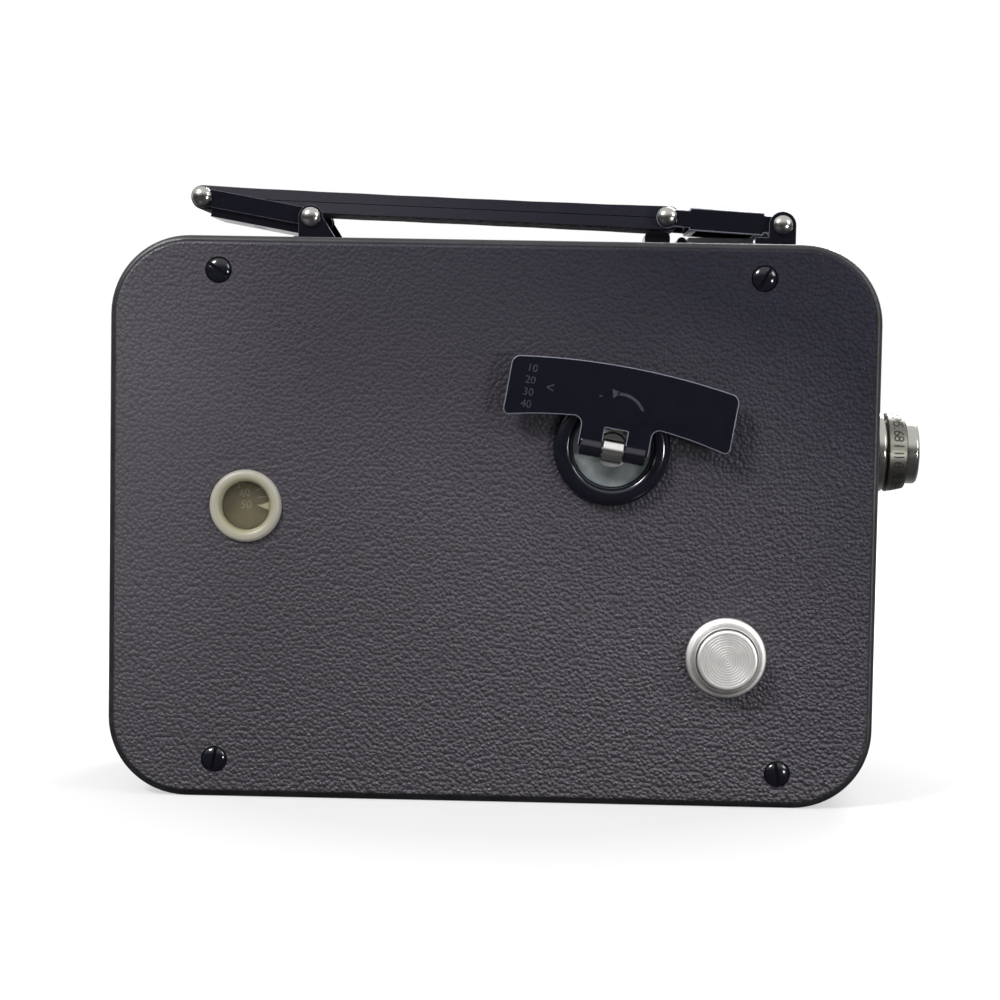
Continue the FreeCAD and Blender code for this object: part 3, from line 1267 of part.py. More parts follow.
def build_lens_board():
    board = slab("board_block", "X", (lens_y - board_half_width, lens_y + board_half_width),
                 (lens_z - board_half_height, lens_z + board_half_height),
                 (half_length, front_face), board_rounding)
    holes = [rod("board_screw_hole", "X", at, (half_length - 1, front_face + 1),
                 small_shank_radius + seat_gap) for at in board_screws]
    holes.append(rod("board_tube_hole", "X", lens, (half_length - 1, front_face + 1),
                     tube_radius + seat_gap))
    return cut("lens_board", board, *holes)


def small_screw(axis, at, seat, sign):
    """A small round-headed screw; sign is the side of the head along the axis."""
    head_top = seat + small_head_height * sign
    shank_end = seat - small_screw_length * sign
    rim = seat + small_head_rim * sign
    screw = turned("small_screw", axis, at,
                   [(head_top, 0), (head_top, small_head_flat), (rim, small_head_radius),
                    (seat, small_head_radius), (seat, small_shank_radius),
                    (shank_end, small_shank_radius), (shank_end, 0)])
    first, second = at
    slot = (head_top - small_slot_depth, head_top + 1)
    width = (second - screw_slot / 4, second + screw_slot / 4)
    reach = (first - small_head_radius, first + small_head_radius)
    spans = (slot, reach, width) if axis == "X" else (reach, width, slot)
    return cut("slotted_screw", screw, box("small_slot", *spans))


def build_small_screws():
    board = [small_screw("X", at, front_face, 1) for at in board_screws]
    top = [small_screw("Z", at, bracket_top, 1) for at in bracket_screws]
    return together("small_screws", *(board + top))


def build_lens_barrel():
    flange_end_x = front_face + flange_thickness
    base_end = half_length + base_ring_end
    groove_stop = half_length + groove_end
    return turned("lens_barrel", "X", lens,
                  [(inner_front, tube_bore), (inner_front, tube_radius),
                   (front_face, tube_radius), (front_face, flange_radius),
                   (flange_end_x - play, flange_radius), (flange_end_x, flange_radius - play),
                   (flange_end_x, base_ring_radius), (base_end, base_ring_radius),
                   (base_end, groove_radius), (groove_stop, groove_radius),
                   (groove_stop, iris_ring_seat), (lens_tube_end, iris_ring_seat),
                   (lens_tube_end, tube_bore)])


def build_aperture_ring():
    start = half_length + groove_end + side_gap
    end = half_length + iris_ring_end - side_gap
    bore = iris_ring_seat + fit
    return turned("aperture_ring", "X", lens,
                  [(start, bore), (start, iris_ring_radius - play),
                   (start + play, iris_ring_radius), (end, iris_ring_front), (end, bore)])


def build_lens_front_ring():
    start = half_length + iris_ring_end
    end = half_length + front_ring_end
    round_start = end - front_ring_rounding
    return turned("lens_front_ring", "X", lens,
                  [(start, iris_ring_seat), (start, front_ring_radius),
                   (round_start, front_ring_radius),
                   (end, front_ring_radius - front_ring_rounding), (end, front_ring_bore + play),
                   (end - play, front_ring_bore), (lens_tube_end, front_ring_bore),
                   (lens_tube_end, iris_ring_seat)], {2: -front_ring_rounding})


def build_lens_front_element():
    end = half_length + front_ring_end - glass_recess
    start = end - glass_thickness
    bulge = glass_thickness / 3
    curve = crown_radius(glass_radius, bulge)
    return turned("lens_front_element", "X", lens,
                  [(start, 0), (start, crown_flat), (start + bulge, glass_radius),
                   (end - bulge, glass_radius), (end, crown_flat), (end, 0)],
                  {1: -curve, 3: -curve})


def build_lens_rear_element():
    start = inner_front + play
    end = start + rear_glass_thickness
    curve = crown_radius(rear_glass_radius, play)
    return turned("lens_rear_element", "X", lens,
                  [(start, 0), (start, crown_flat), (start + play, rear_glass_radius),
                   (end - play, rear_glass_radius), (end, crown_flat), (end, 0)],
                  {1: -curve, 3: -curve})


# The film chamber


def build_gate_plate():
    plate = box("gate_block", (gate_x, gate_x + gate_thickness),
                (partition_far, partition_far + gate_width), (gate_low, gate_high))
    through = (gate_x - 1, gate_x + gate_thickness + 1)
    picture = box("picture_window", through,
                  (film_middle - frame_width / 2, film_middle + frame_width / 2),
                  (lens_z - frame_height / 2, lens_z + frame_height / 2))
    slots = [box("claw_slot", through, (row - claw_slot_half, row + claw_slot_half),
                 (claw_tip_z - frame_height / 2, claw_tip_z + frame_height / 2))
             for row in (film_middle - perforation_spacing / 2,
                         film_middle + perforation_spacing / 2)]
    return cut("gate_plate", plate, picture, *slots)


def build_pressure_plate():
    face = gate_x - film_gap
    plate = box("pressure_block", (face - pressure_thickness, face),
                (film_middle - pressure_half_width, film_middle + pressure_half_width),
                (lens_z - pressure_half_height, lens_z + pressure_half_height))
    stem = rod("pressure_stem", "X", (film_middle, lens_z),
               (bracket_far - bracket_depth - play, face - pressure_thickness),
               shaft_radius)
    return fuse("pressure_plate", plate, stem)


def build_pressure_bracket():
    post = box("pressure_post", (bracket_far - bracket_depth, bracket_far),
               (partition_far, film_middle + shaft_radius * 3),
               (lens_z - shaft_radius * 3, lens_z + shaft_radius * 3))
    hole = rod("pressure_hole", "X", (film_middle, lens_z),
               (bracket_far - bracket_depth - 1, bracket_far + 1), shaft_radius + fit)
    return cut("pressure_bracket", post, hole)


def build_pressure_spring():
    span = (bracket_far + side_gap, gate_x - film_gap - pressure_thickness - side_gap)
    return coil("pressure_spring", "X", (film_middle, lens_z), span, pressure_coil_radius,
                pressure_wire, pressure_turns)


def build_shutter():
    cup_base = partition_far + cup_shutter_base
    inner = cup_shutter_radius - cup_shutter_wall
    floor = cup_base + cup_shutter_wall
    cup = turned("cup_block", "Y", shutter_axis,
                 [(cup_base, 0), (cup_base, cup_shutter_radius),
                  (cup_shutter_tip, cup_shutter_radius), (cup_shutter_tip, inner),
                  (floor, inner), (floor, 0)])
    windows = box("cup_windows", (shutter_x - cup_shutter_radius - 1,
                                  shutter_x + cup_shutter_radius + 1),
                  (film_middle - frame_width / 2 - play, film_middle + frame_width / 2 + play),
                  (shutter_z - cup_window, shutter_z + cup_window))
    cup = cut("shutter_cup", cup, windows)
    shaft = stepped("shutter_shaft", "Y", shutter_axis,
                    [(plate_near, plate_far + side_gap, shaft_end_radius),
                     (plate_far + side_gap, cup_base, shaft_radius)])
    cam = rod("shutter_cam", "Y", (shutter_x, shutter_z + cam_throw),
              (claw_near - play, claw_far + play), cam_radius)
    pinion = gear("shutter_pinion", shutter_axis, pinion_teeth, fine_module, fine_pinion_span,
                  meshing_phase(middle, wheel_teeth, wheel_phase, shutter_axis, pinion_teeth))
    return fuse("shutter", cup, shaft, cam, pinion)


def build_pulldown_claw():
    half = claw_opening + claw_rim
    span = (claw_near, claw_far)
    frame_piece = box("claw_frame", (shutter_x - half, shutter_x + half), span,
                      (shutter_z - half - claw_rim, shutter_z + half + claw_rim))
    arm_x = (shutter_x - half, shutter_x - half + claw_arm)
    arm = box("claw_arm", arm_x, span, (claw_guide[1] - claw_arm, shutter_z - half))
    row = film_middle - perforation_spacing / 2
    tip_z = (claw_tip_z - claw_thickness, claw_tip_z + claw_thickness)
    bridge = box("claw_bridge", (arm_x[0], arm_x[0] + claw_thickness),
                 (claw_near, row + claw_thickness / 2), tip_z)
    tip = box("claw_tip", (gate_x - film_gap / 2, arm_x[0] + claw_thickness),
              (row - claw_thickness / 2, row + claw_thickness / 2),
              (claw_tip_z - claw_thickness / 2, claw_tip_z + claw_thickness / 2))
    solid = fuse("claw_solid", frame_piece, arm, bridge, tip)
    hole = rod("claw_opening", "Y", shutter_axis, (claw_near - 1, claw_far + 1),
               claw_opening)
    guide = rod("claw_guide_hole", "Y", claw_guide, (claw_near - 1, claw_far + 1),
                claw_pin_radius + seat_gap)
    return cut("pulldown_claw", solid, hole, guide)


# The mechanism


def build_movement_plate():
    top_pillar = pillars[1]
    low = governor_z - plate_margin
    points = [(pillars[0][0] - plate_margin, low), (shutter_x + plate_margin, low),
              (shutter_x + plate_margin, shutter_z + plate_margin),
              (sprocket_x + plate_margin, sprocket_z + plate_margin),
              (top_pillar[0] + plate_margin * 4, top_pillar[1] + pillar_radius),
              (top_pillar[0] - plate_margin * 2, top_pillar[1] + pillar_radius),
              (pillars[0][0] - plate_margin, pillars[0][1] + plate_margin)]
    plate = prism("movement_block", "Y", (plate_near, plate_far), points)
    click_pin = rod("click_pin", "Y", click, (plate_far - plate_thickness / 2, ratchet_far),
                    shaft_end_radius)
    solid = fuse("movement_solid", plate, click_pin)
    span = (plate_near - 1, plate_far + 1)
    holes = [rod("plate_bearing", "Y", at, span, shaft_end_radius + fit)
             for at in (sprocket, middle, governor, shutter_axis)]
    holes.append(rod("plate_arbor_hole", "Y", winder, span, spindle_radius + fit))
    holes += [rod("plate_pillar_hole", "Y", at, span, shaft_end_radius) for at in pillars]
    return cut("movement_plate", solid, *holes)


def build_movement_pillars():
    pieces = [stepped("pillar", "Y", at,
                      [(plate_near - play, plate_far, shaft_end_radius),
                       (plate_far, partition_place, pillar_radius)]) for at in pillars]
    return together("movement_pillars", *pieces)


def build_spring_barrel():
    bore = spindle_radius + fit
    drum = turned("drum", "Y", winder,
                  [(lid_far, barrel_radius - barrel_wall), (lid_far, barrel_radius),
                   (great_near, barrel_radius), (great_near, barrel_radius - barrel_wall)])
    hub = stepped("barrel_hub", "Y", winder, [(great_near - great_thickness, great_near,
                                               hub_radius)], bore)
    great = gear("great_wheel", winder, great_teeth, coarse_module, (great_near, great_far),
                 great_phase, bore)
    return fuse("spring_barrel", drum, hub, great)


def build_barrel_lid():
    return stepped("barrel_lid", "Y", winder, [(lid_near, lid_far, barrel_radius)],
                   spindle_radius + fit)


def build_mainspring():
    """A flat spiral: half circles that grow by half a pitch each."""
    pitch = (number_of(spring_outer) - number_of(spring_inner)) / number_of(spring_turns)
    strip = number_of(spring_strip)
    centre_x, centre_z = number_of(winder_x), number_of(winder_z)

    def half_circle(number, grown):
        radius = number_of(spring_inner) + number * pitch / 2 + grown
        odd = number % 2
        centre = Vector(centre_x + odd * pitch / 2, 0, centre_z)
        side = -1 if odd else 1
        return Part.Arc(centre + Vector(side * radius, 0, 0), centre + Vector(0, 0, side * radius),
                        centre - Vector(side * radius, 0, 0))

    halves = int(2 * number_of(spring_turns))
    inner = [half_circle(number, 0) for number in range(halves)]
    outer = [half_circle(number, strip) for number in range(halves)]
    ends = [Part.LineSegment(inner[0].StartPoint, outer[0].StartPoint),
            Part.LineSegment(inner[-1].EndPoint, outer[-1].EndPoint)]
    wire = Part.Wire(Part.__sortEdges__([curve.toShape() for curve in inner + outer + ends]))
    strip = extruded("spring_coils", Part.Face(wire), lid_far + play, great_near - play)
    wall_place = barrel_radius - barrel_wall
    hook = common("spring_hook_block",
                  box("hook_block", (winder_x + spring_outer, winder_x + barrel_radius),
                      (lid_far + play, great_near - play),
                      (winder_z - spring_hook, winder_z + spring_hook)),
                  rod("hook_reach", "Y", winder, (lid_far, great_near), wall_place))
    return fuse("mainspring", strip, hook)


def build_ratchet_wheel():
    teeth = int(round(number_of(ratchet_teeth)))
    step = 360.0 / teeth
    points = []
    for number in range(teeth):
        angle = 90 - number * step
        points += [polar(winder, number_of(ratchet_radius), angle),
                   polar(winder, number_of(ratchet_root), angle)]
    face = Part.Face(Part.makePolygon(points + points[:1]))
    wheel = extruded("ratchet_teeth", face, ratchet_near, ratchet_far)
    bore = rod("ratchet_bore", "Y", winder, (ratchet_near - 1, ratchet_far + 1), spindle_radius)
    return cut("ratchet_wheel", wheel, bore)


def build_click_pawl():
    """The click rests in the gap beside the top tooth and lifts away from the wheel."""
    nose = prism("click_nose", "Y", (ratchet_near, ratchet_far),
                 [(winder_x + side_gap, winder_z + click_nose_low),
                  (winder_x + ratchet_radius / 4, winder_z + ratchet_radius + play),
                  (click_pivot_x, click_pivot_z - click_arm),
                  (click_pivot_x, click_pivot_z + click_arm),
                  (winder_x + side_gap, winder_z + click_nose_high)])
    eye = rod("click_eye", "Y", click, (ratchet_near, ratchet_far), click_eye)
    hole = rod("click_hole", "Y", click, (ratchet_near - 1, ratchet_far + 1),
               shaft_end_radius + fit)
    return cut("click_pawl", fuse("click_solid", nose, eye), hole)


def train_shaft(name, at, pinion):
    """A shaft between the movement plate and the partition, with its pinion."""
    shaft = stepped(name + "_shaft", "Y", at,
                    [(plate_near, plate_far + side_gap, shaft_end_radius),
                     (plate_far + side_gap, partition_place - side_gap, shaft_radius),
                     (partition_place - side_gap, partition_place + shaft_end_length,
                      shaft_end_radius)])
    return fuse(name, shaft, pinion)


def build_intermediate_shaft():
    pinion = gear("intermediate_pinion", middle, pinion_teeth, coarse_module, coarse_pinion_span,
                  meshing_phase(winder, great_teeth, great_phase, middle, pinion_teeth))
    return train_shaft("intermediate_shaft", middle, pinion)


def build_intermediate_wheel():
    wheel = gear("intermediate_disc", middle, wheel_teeth, fine_module, (fine_near, fine_far),
                 wheel_phase, shaft_radius)
    centres = [(middle_x + wheel_ring * cosine(angle), middle_z + wheel_ring * sine(angle))
               for angle in (0, 72, 144, 216, 288)]
    holes = [rod("wheel_hole", "Y", centre, (fine_near - 1, fine_far + 1), wheel_hole)
             for centre in centres]
    return cut("intermediate_wheel", wheel, *holes)


def build_sprocket_shaft():
    pinion = gear("sprocket_pinion", sprocket, pinion_teeth, coarse_module, coarse_pinion_span,
                  meshing_phase(winder, great_teeth, great_phase, sprocket, pinion_teeth))
    shaft = stepped("sprocket_rod", "Y", sprocket,
                    [(plate_near, plate_far + side_gap, shaft_end_radius),
                     (plate_far + side_gap, sprocket_end + play, shaft_radius)])
    return fuse("sprocket_shaft", shaft, pinion)


def build_film_sprocket():
    row = perforation_spacing / 2
    rims = [(film_middle + side * row - sprocket_rim / 2, film_middle + side * row
             + sprocket_rim / 2) for side in (-1, 1)]
    drum = stepped("sprocket_drum", "Y", sprocket,
                   [(rims[0][0], rims[0][1], sprocket_radius),
                    (rims[0][1], rims[1][0], sprocket_waist),
                    (rims[1][0], rims[1][1], sprocket_radius)], shaft_radius)
    pins = []
    count = int(round(number_of(sprocket_pins)))
    for side in (-1, 1):
        for number in range(count):
            base = polar(sprocket, number_of(sprocket_radius - pin_root), 360.0 * number / count)
            base.y = number_of(film_middle + side * row)
            outward = Vector(base.x - number_of(sprocket_x), 0, base.z - number_of(sprocket_z))
            pin = document.addObject("Part::Feature", "sprocket_pin")
            pin.Shape = Part.makeCone(number_of(pin_base), number_of(pin_tip),
                                      number_of(pin_length + pin_root), base, outward)
            pins.append(pin)
    return fuse("film_sprocket", drum, *pins)


def build_governor_shaft():
    disc = rod("governor_brake", "Y", governor,
               (plate_far + governor_weight, plate_far + governor_weight + 1), governor_disc)
    pinion = gear("governor_pinion", governor, pinion_teeth, fine_module, fine_pinion_span,
                  meshing_phase(middle, wheel_teeth, wheel_phase, governor, pinion_teeth))
    return train_shaft("governor_shaft", governor, fuse("governor_wheels", disc, pinion))


def build_governor_weights():
    """Three weights, each on two arms that clip into the shaft."""
    pieces = []
    start = number_of(plate_far + governor_place)
    length, arm = number_of(governor_length), number_of(governor_arm)
    for number in range(3):
        middle_point = polar(governor, number_of(governor_swing), 120.0 * number)
        foot = polar(governor, number_of(shaft_radius), 120.0 * number)
        outward = middle_point - foot
        solids = [Part.makeCylinder(number_of(governor_weight), length,
                                    middle_point + Vector(0, start, 0), Vector(0, 1, 0))]
        for lift in (2 * arm, length - 2 * arm):
            solids.append(Part.makeCylinder(arm, outward.Length,
                                            foot + Vector(0, start + lift, 0), outward))
        weight = document.addObject("Part::Feature", "governor_weight")
        weight.Shape = solids[0].multiFuse(solids[1:])
        pieces.append(weight)
    return together("governor_weights", *pieces)


def film_spindle(name, at, shoulder):
    return stepped(name, "Y", at,
                   [(partition_place - play - pulley_thickness, partition_place - play,
                     pulley_radius),
                    (partition_place - play, partition_far + play, film_spindle_radius),
                    (partition_far + play, spool_near - side_gap, shoulder),
                    (spool_near - side_gap, film_spindle_tip, film_spindle_radius)])


def build_takeup_spindle():
    return film_spindle("takeup_spindle", takeup, spool_hub)


def build_supply_spindle():
    shaft = film_spindle("supply_rod", supply, spool_hub)
    blade = box("supply_blade", (supply_x - spool_hub, supply_x + spool_hub),
                (film_spindle_tip - 2, film_spindle_tip - 1),
                (spools_z - spindle_blade, spools_z + spindle_blade))
    return fuse("supply_spindle", shaft, blade)


def build_takeup_spool():
    inner = spool_near + spool_flange
    outer = spool_far - spool_flange
    spool = turned("spool_block", "Y", takeup,
                   [(spool_near, film_spindle_radius), (spool_near, spool_radius),
                    (inner, spool_radius), (inner, spool_core), (outer, spool_core),
                    (outer, spool_radius), (spool_far, spool_radius),
                    (spool_far, film_spindle_radius)])
    hollow = stepped("spool_hollow", "Y", takeup,
                     [(inner, spool_far + 1, spool_core - spool_core_wall)], spool_hub)
    ring = spool_core + (spool_radius - spool_core) / 2
    holes = [rod("flange_hole", "Y", (takeup_x + ring * cosine(angle), spools_z + ring * sine(angle)),
                 (spool_near - 1, spool_far + 1), spool_hole)
             for angle in (90, 210, 330)]
    return cut("takeup_spool", spool, hollow, *holes)


# The film door


def build_film_door():
    plate = outline("door_block", door_drop, (door_inner, door_outer))
    rim_inset = leather + wall + rim_gap
    rim_span = (door_inner - rim_height, door_inner)
    rim = cut("door_rim", outline("rim_block", rim_inset, rim_span),
              outline("rim_space", rim_inset + rim_thickness, (rim_span[0] - 1, rim_span[1] + 1)))
    hole = rod("lock_hole", "Y", lock, (door_inner - 1, door_outer + 1), lock_shaft + fit)
    return cut("film_door", fuse("door_solid", plate, rim), hole)


def build_door_leather():
    panel = outline("door_panel", door_drop + leather_inset, (door_outer, far_face))
    round_edges(panel, leather_rounding, lambda edge: in_plane(edge, "Y", far_face))
    hole = rod("door_leather_hole", "Y", lock, (door_outer - 1, far_face + 1),
               lock_shaft + play)
    return cut("door_leather", panel, hole)


def knuckle_spans(first):
    """Every second knuckle of the door hinge, with a gap between neighbours."""
    length = hinge_half * 2 / HINGE_KNUCKLES
    start = hinge_middle - hinge_half
    return [(start + length * number + side_gap, start + length * (number + 1) - side_gap)
            for number in range(first, HINGE_KNUCKLES, 2)]


def build_door_hinge():
    pieces = []
    for span in knuckle_spans(1):
        pieces.append(rod("door_knuckle", "Z", (hinge_axis_x, hinge_y), span, hinge_barrel))
        pieces.append(box("door_strap", (hinge_axis_x, -half_length + door_drop),
                          (door_inner, hinge_y + hinge_barrel), span))
    solid = fuse("door_hinge_solid", *pieces)
    bore = rod("door_hinge_bore", "Z", (hinge_axis_x, hinge_y),
               (hinge_middle - hinge_half - 1, hinge_middle + hinge_half + 1),
               hinge_pin_radius + fit)
    return cut("door_hinge", solid, bore)


def build_case_hinge():
    outer = -half_length - hinge_leaf
    clear = hinge_y - hinge_barrel - play * 2
    pieces = [box("hinge_leaf", (outer, -half_length), (clear - hinge_leaf_reach, clear),
                  (hinge_middle - hinge_half, hinge_middle + hinge_half)),
              rod("hinge_pin", "Z", (hinge_axis_x, hinge_y),
                  (hinge_middle - hinge_half - hinge_leaf, hinge_middle + hinge_half + hinge_leaf),
                  hinge_pin_radius)]
    for span in knuckle_spans(0):
        pieces.append(rod("case_knuckle", "Z", (hinge_axis_x, hinge_y), span, hinge_barrel))
        pieces.append(box("case_strap", (hinge_axis_x, -half_length), (clear, hinge_y - play),
                          span))
    return fuse("case_hinge", *pieces)


def build_door_lock():
    disc_end = far_face + play + lock_disc
    disc = rod("lock_disc", "Y", lock, (far_face + play, disc_end), lock_radius)
    grip = box("lock_grip", (lock_x - lock_shaft / 2, lock_x + lock_shaft / 2),
               (disc_end, disc_end + lock_grip - lock_disc),
               (lock_z - lock_grip_half, lock_z + lock_grip_half))
    shaft = rod("lock_rod", "Y", lock, (cam_near, far_face + play), lock_shaft)
    cam = box("lock_cam", (lock_x - cam_half, lock_x + cam_half), (cam_near, cam_far),
              (lock_z - cam_length, lock_z))
    return fuse("door_lock", disc, grip, shaft, cam)


# The sights and the handle


def bracket_ear(name, y, pivot, top_radius, points):
    """An upright ear with a round top on its pivot and the rest of its outline in points."""
    x, height = pivot
    plate = prism(name + "_plate", "Y", y, points)
    top = rod(name + "_top", "Y", (x, height), y, top_radius)
    return fuse(name, plate, top)


def build_rear_sight_bracket():
    x, height = rear_pivot
    foot = x + rear_gusset
    points = [(x - rear_ear_radius, body_height), (foot, body_height), (foot, bracket_top),
              (x + rear_ear_radius, height), (x - rear_ear_radius, height)]
    ears = [bracket_ear("rear_ear", y, rear_pivot, rear_ear_radius, points)
            for y in ((-ear_outer, -ear_inner), (ear_inner, ear_outer))]
    base = box("rear_bracket_base", (x - rear_base, foot), (-ear_outer, ear_outer),
               (body_height, bracket_top))
    solid = fuse("rear_bracket_solid", base, *ears)
    return cut("rear_sight_bracket", solid, *bracket_holes(rear_pivot, bracket_screws[:2]))


def bracket_holes(pivot, screws_at):
    holes = [rod("ear_hole", "Y", pivot, (-ear_outer - 1, ear_outer + 1), link_pin_radius + fit)]
    holes += [rod("base_hole", "Z", at, (body_height - 1, bracket_top + 1),
                  small_shank_radius + seat_gap) for at in screws_at]
    return holes


def build_front_sight_bracket():
    """The ears of the front sight, with a raised plate and the handle's rest behind them."""
    x, height = front_pivot
    step = x - front_ear_radius
    foot = x - front_foot
    foot_top = body_height + front_foot_height
    points = [(foot, body_height), (x + front_ear_radius, body_height),
              (x + front_ear_radius, height), (step, height), (step, foot_top), (foot, foot_top)]
    ears = [bracket_ear("front_ear", y, front_pivot, front_ear_radius, points)
            for y in ((-ear_outer, -ear_inner), (ear_inner, ear_outer))]
    base = box("front_bracket_base", (foot, x + front_ear_radius), (-ear_outer, ear_outer),
               (body_height, bracket_top))
    width = (-rest_half, rest_half)
    rest_x = (front_high_x - rest_back, front_high_x + rest_front)
    rest = slab("handle_rest", "Y", rest_x, (body_height, rest_top), width, rest_rounding)
    strip = box("rest_strip", (rest_x[0] + rest_rounding, foot), width,
                (body_height, bracket_top))
    shoe = box("raised_plate", (front_high_x + shoe_place, foot), width, (body_height, shoe_top))
    roll = rod("rolled_edge", "Y", (front_high_x + roll_place, body_height + roll_radius), width,
               roll_radius)
    solid = fuse("front_bracket_solid", base, *ears, rest, strip, shoe, roll)
    return cut("front_sight_bracket", solid, *bracket_holes(front_pivot, bracket_screws[2:]))


def swung(piece, pivot, angle):
    """Turns a piece made flat at the origin to its slope, on its pivot."""
    piece.Placement = FreeCAD.Placement(Vector(), FreeCAD.Rotation(Vector(0, 1, 0),
                                                                   number_of(angle)))
    bind(piece, "Placement.Rotation.Angle", angle)
    set_base(piece, pivot[0], 0, pivot[1])
    return piece


def build_rear_sight_frame():
    flanges = [capsule("rear_flange", -rear_link, 0, flange_half, y) for y in flange_sides]
    eyes = [rod("rear_eye", "Y", (at, 0), y, flange_end) for at in (-rear_link, 0)
            for y in flange_sides]
    web_x = (-rear_link + web_end, -web_start)
    half = flange_place - link_flange
    web = box("rear_web", web_x, (-flange_place, flange_place), (-web_drop, -web_drop
                                                                + web_thickness))
    sides = [box("rear_side", web_x, y, (-web_drop, flange_half))
             for y in ((-flange_place, -half), (half, flange_place))]
    solid = fuse("rear_sight_solid", *flanges, *eyes, web, *sides)
    peep = rod("peep_hole", "Z", (-rear_link / 2, 0), (-web_drop - 1, 0), peep_radius)
    holes = [rod("link_hole", "Y", (at, 0), (-ear_outer, ear_outer), link_pin_radius)
             for at in (-rear_link, 0)]
    return swung(cut("rear_sight_frame", solid, peep, *holes), rear_pivot, rear_slope)


def build_front_sight_frame():
    flanges = [capsule("front_flange", -front_link, 0, flange_half, y) for y in flange_sides]
    eyes = [rod("front_eye", "Y", (at, 0), y, flange_end) for at in (-front_link, 0)
            for y in flange_sides]
    frame_x = (-front_link + front_short, -front_start)
    depth = (-front_half, front_half)
    sides = [box("front_side", frame_x, y, depth) for y in flange_sides]
    bars = [box("front_bar", x, (-flange_place, flange_place), depth)
            for x in ((frame_x[0], frame_x[0] + front_bar), (frame_x[1] - front_bar, frame_x[1]))]
    solid = fuse("front_sight_solid", *flanges, *eyes, *sides, *bars)
    holes = [rod("link_hole", "Y", (at, 0), (-ear_outer, ear_outer), link_pin_radius)
             for at in (-front_link, 0)]
    return swung(cut("front_sight_frame", solid, *holes), front_pivot, front_slope)


def build_sight_glass():
    x = (-front_link + front_short + front_bar, -front_start - front_bar)
    half = sight_glass_thickness / 2
    pane = box("sight_pane", x, (-flange_place, flange_place), (-half, half))
    return swung(together("sight_glass", pane), front_pivot, front_slope)


def domed_head(name, at, face, sign):
    """A domed pin head on a face; sign is the side that it stands out to along Y."""
    top = face + link_head_height * sign
    rim = face + link_head_rim * sign
    curve = crown_radius(link_head_radius, link_head_height - link_head_rim)
    return turned(name, "Y", at, [(face, 0), (face, link_head_radius), (rim, link_head_radius),
                                  (top, crown_flat), (top, 0)], {2: curve * sign})


def through_pin(name, at):
    """A pin across the strap, with domed heads on the flanges."""
    face = flange_place + link_flange
    shank = rod(name + "_shank", "Y", at, (-face, face), link_pin_radius)
    return fuse(name, shank, domed_head(name + "_head", at, -face, -1),
                domed_head(name + "_head", at, face, 1))


def stud_pair(name, at):
    """Two studs that carry a sight in the ears of its bracket."""
    studs = []
    for sign in (-1, 1):
        span = (flange_place, ear_outer) if sign > 0 else (-ear_outer, -flange_place)
        shank = rod(name + "_shank", "Y", at, span, link_pin_radius)
        studs.append(fuse(name, shank, domed_head(name + "_head", at, ear_outer * sign, sign)))
    return studs


def build_rear_sight_pins():
    return together("rear_sight_pins", through_pin("rear_strap_pin", rear_strap_pin),
                    *stud_pair("rear_stud", rear_pivot))


def build_front_sight_pins():
    return together("front_sight_pins", through_pin("front_strap_pin", front_strap_pin),
                    *stud_pair("front_stud", front_pivot))


def build_handle_strap():
    """The doubled strap, with an eye on the rear pin and a longer loop at the front."""
    y = (-strap_half, strap_half)
    half = strap_thickness / 2
    strap = capsule("strap_block", 0, strap_length, half, y)
    eye = rod("strap_eye", "Y", (0, 0), (-strap_half - 1, strap_half + 1), link_pin_radius + fit)
    loop = capsule("strap_loop", strap_length - strap_slack, strap_length + strap_slack,
                   link_pin_radius + loop_gap, (-strap_half - 1, strap_half + 1))
    return swung(cut("handle_strap", strap, eye, loop), rear_strap_pin, strap_slope)


BUILDERS = [
    build_case_frame, build_case_leather, build_base_plate, build_tripod_bush,
    build_mechanism_cover, build_side_leather, build_cover_screws,
    build_key_cup, build_winding_spindle, build_key_hinge_pin, build_winding_key,
    build_counter_bezel, build_counter_glass, build_counter_dial, build_feeler_arm,
    build_release_collar, build_release_button, build_release_spring,
    build_lens_board, build_small_screws, build_lens_barrel, build_aperture_ring,
    build_lens_front_ring, build_lens_front_element, build_lens_rear_element,
    build_gate_plate, build_pressure_plate, build_pressure_bracket, build_pressure_spring,
    build_shutter, build_pulldown_claw,
    build_movement_plate, build_movement_pillars, build_spring_barrel, build_barrel_lid,
    build_mainspring, build_ratchet_wheel, build_click_pawl,
    build_intermediate_shaft, build_intermediate_wheel, build_sprocket_shaft,
    build_film_sprocket, build_governor_shaft, build_governor_weights,
    build_takeup_spindle, build_supply_spindle, build_takeup_spool,
    build_film_door, build_door_leather, build_door_hinge, build_case_hinge, build_door_lock,
    build_rear_sight_bracket, build_front_sight_bracket, build_rear_sight_frame,
    build_front_sight_frame, build_sight_glass, build_rear_sight_pins, build_front_sight_pins,
    build_handle_strap,
]

document.recompute()
for builder in BUILDERS:
    node = builder.__name__[len("build_"):]
    sub_part(node, builder())
document.recompute()

faults = [item.Name + " is " + ", ".join(item.State) for item in document.Objects
          if "Invalid" in item.State or "Error" in item.State]
for piece in sub_parts:
    if piece.Shape.isNull() or not piece.Shape.isValid() or not piece.Shape.Solids:
        faults.append(piece.Label + " has no valid solid")
if faults:
    raise RuntimeError("; ".join(faults))

os.makedirs("parts", exist_ok=True)
for piece in sub_parts:
    piece.Shape.exportStep("parts/" + piece.Label + ".step")
    print(piece.Label, len(piece.Shape.Solids), "solids", round(piece.Shape.Volume, 2))
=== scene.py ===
"""Looks of a movie camera for narrow film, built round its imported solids.

Lengths are written in millimetres. X points towards the lens, Y from the winding side to the
film door, Z up; the origin is the mouth of the tripod socket.
"""

import math

import bmesh
import bpy
from mathutils import Matrix, Vector


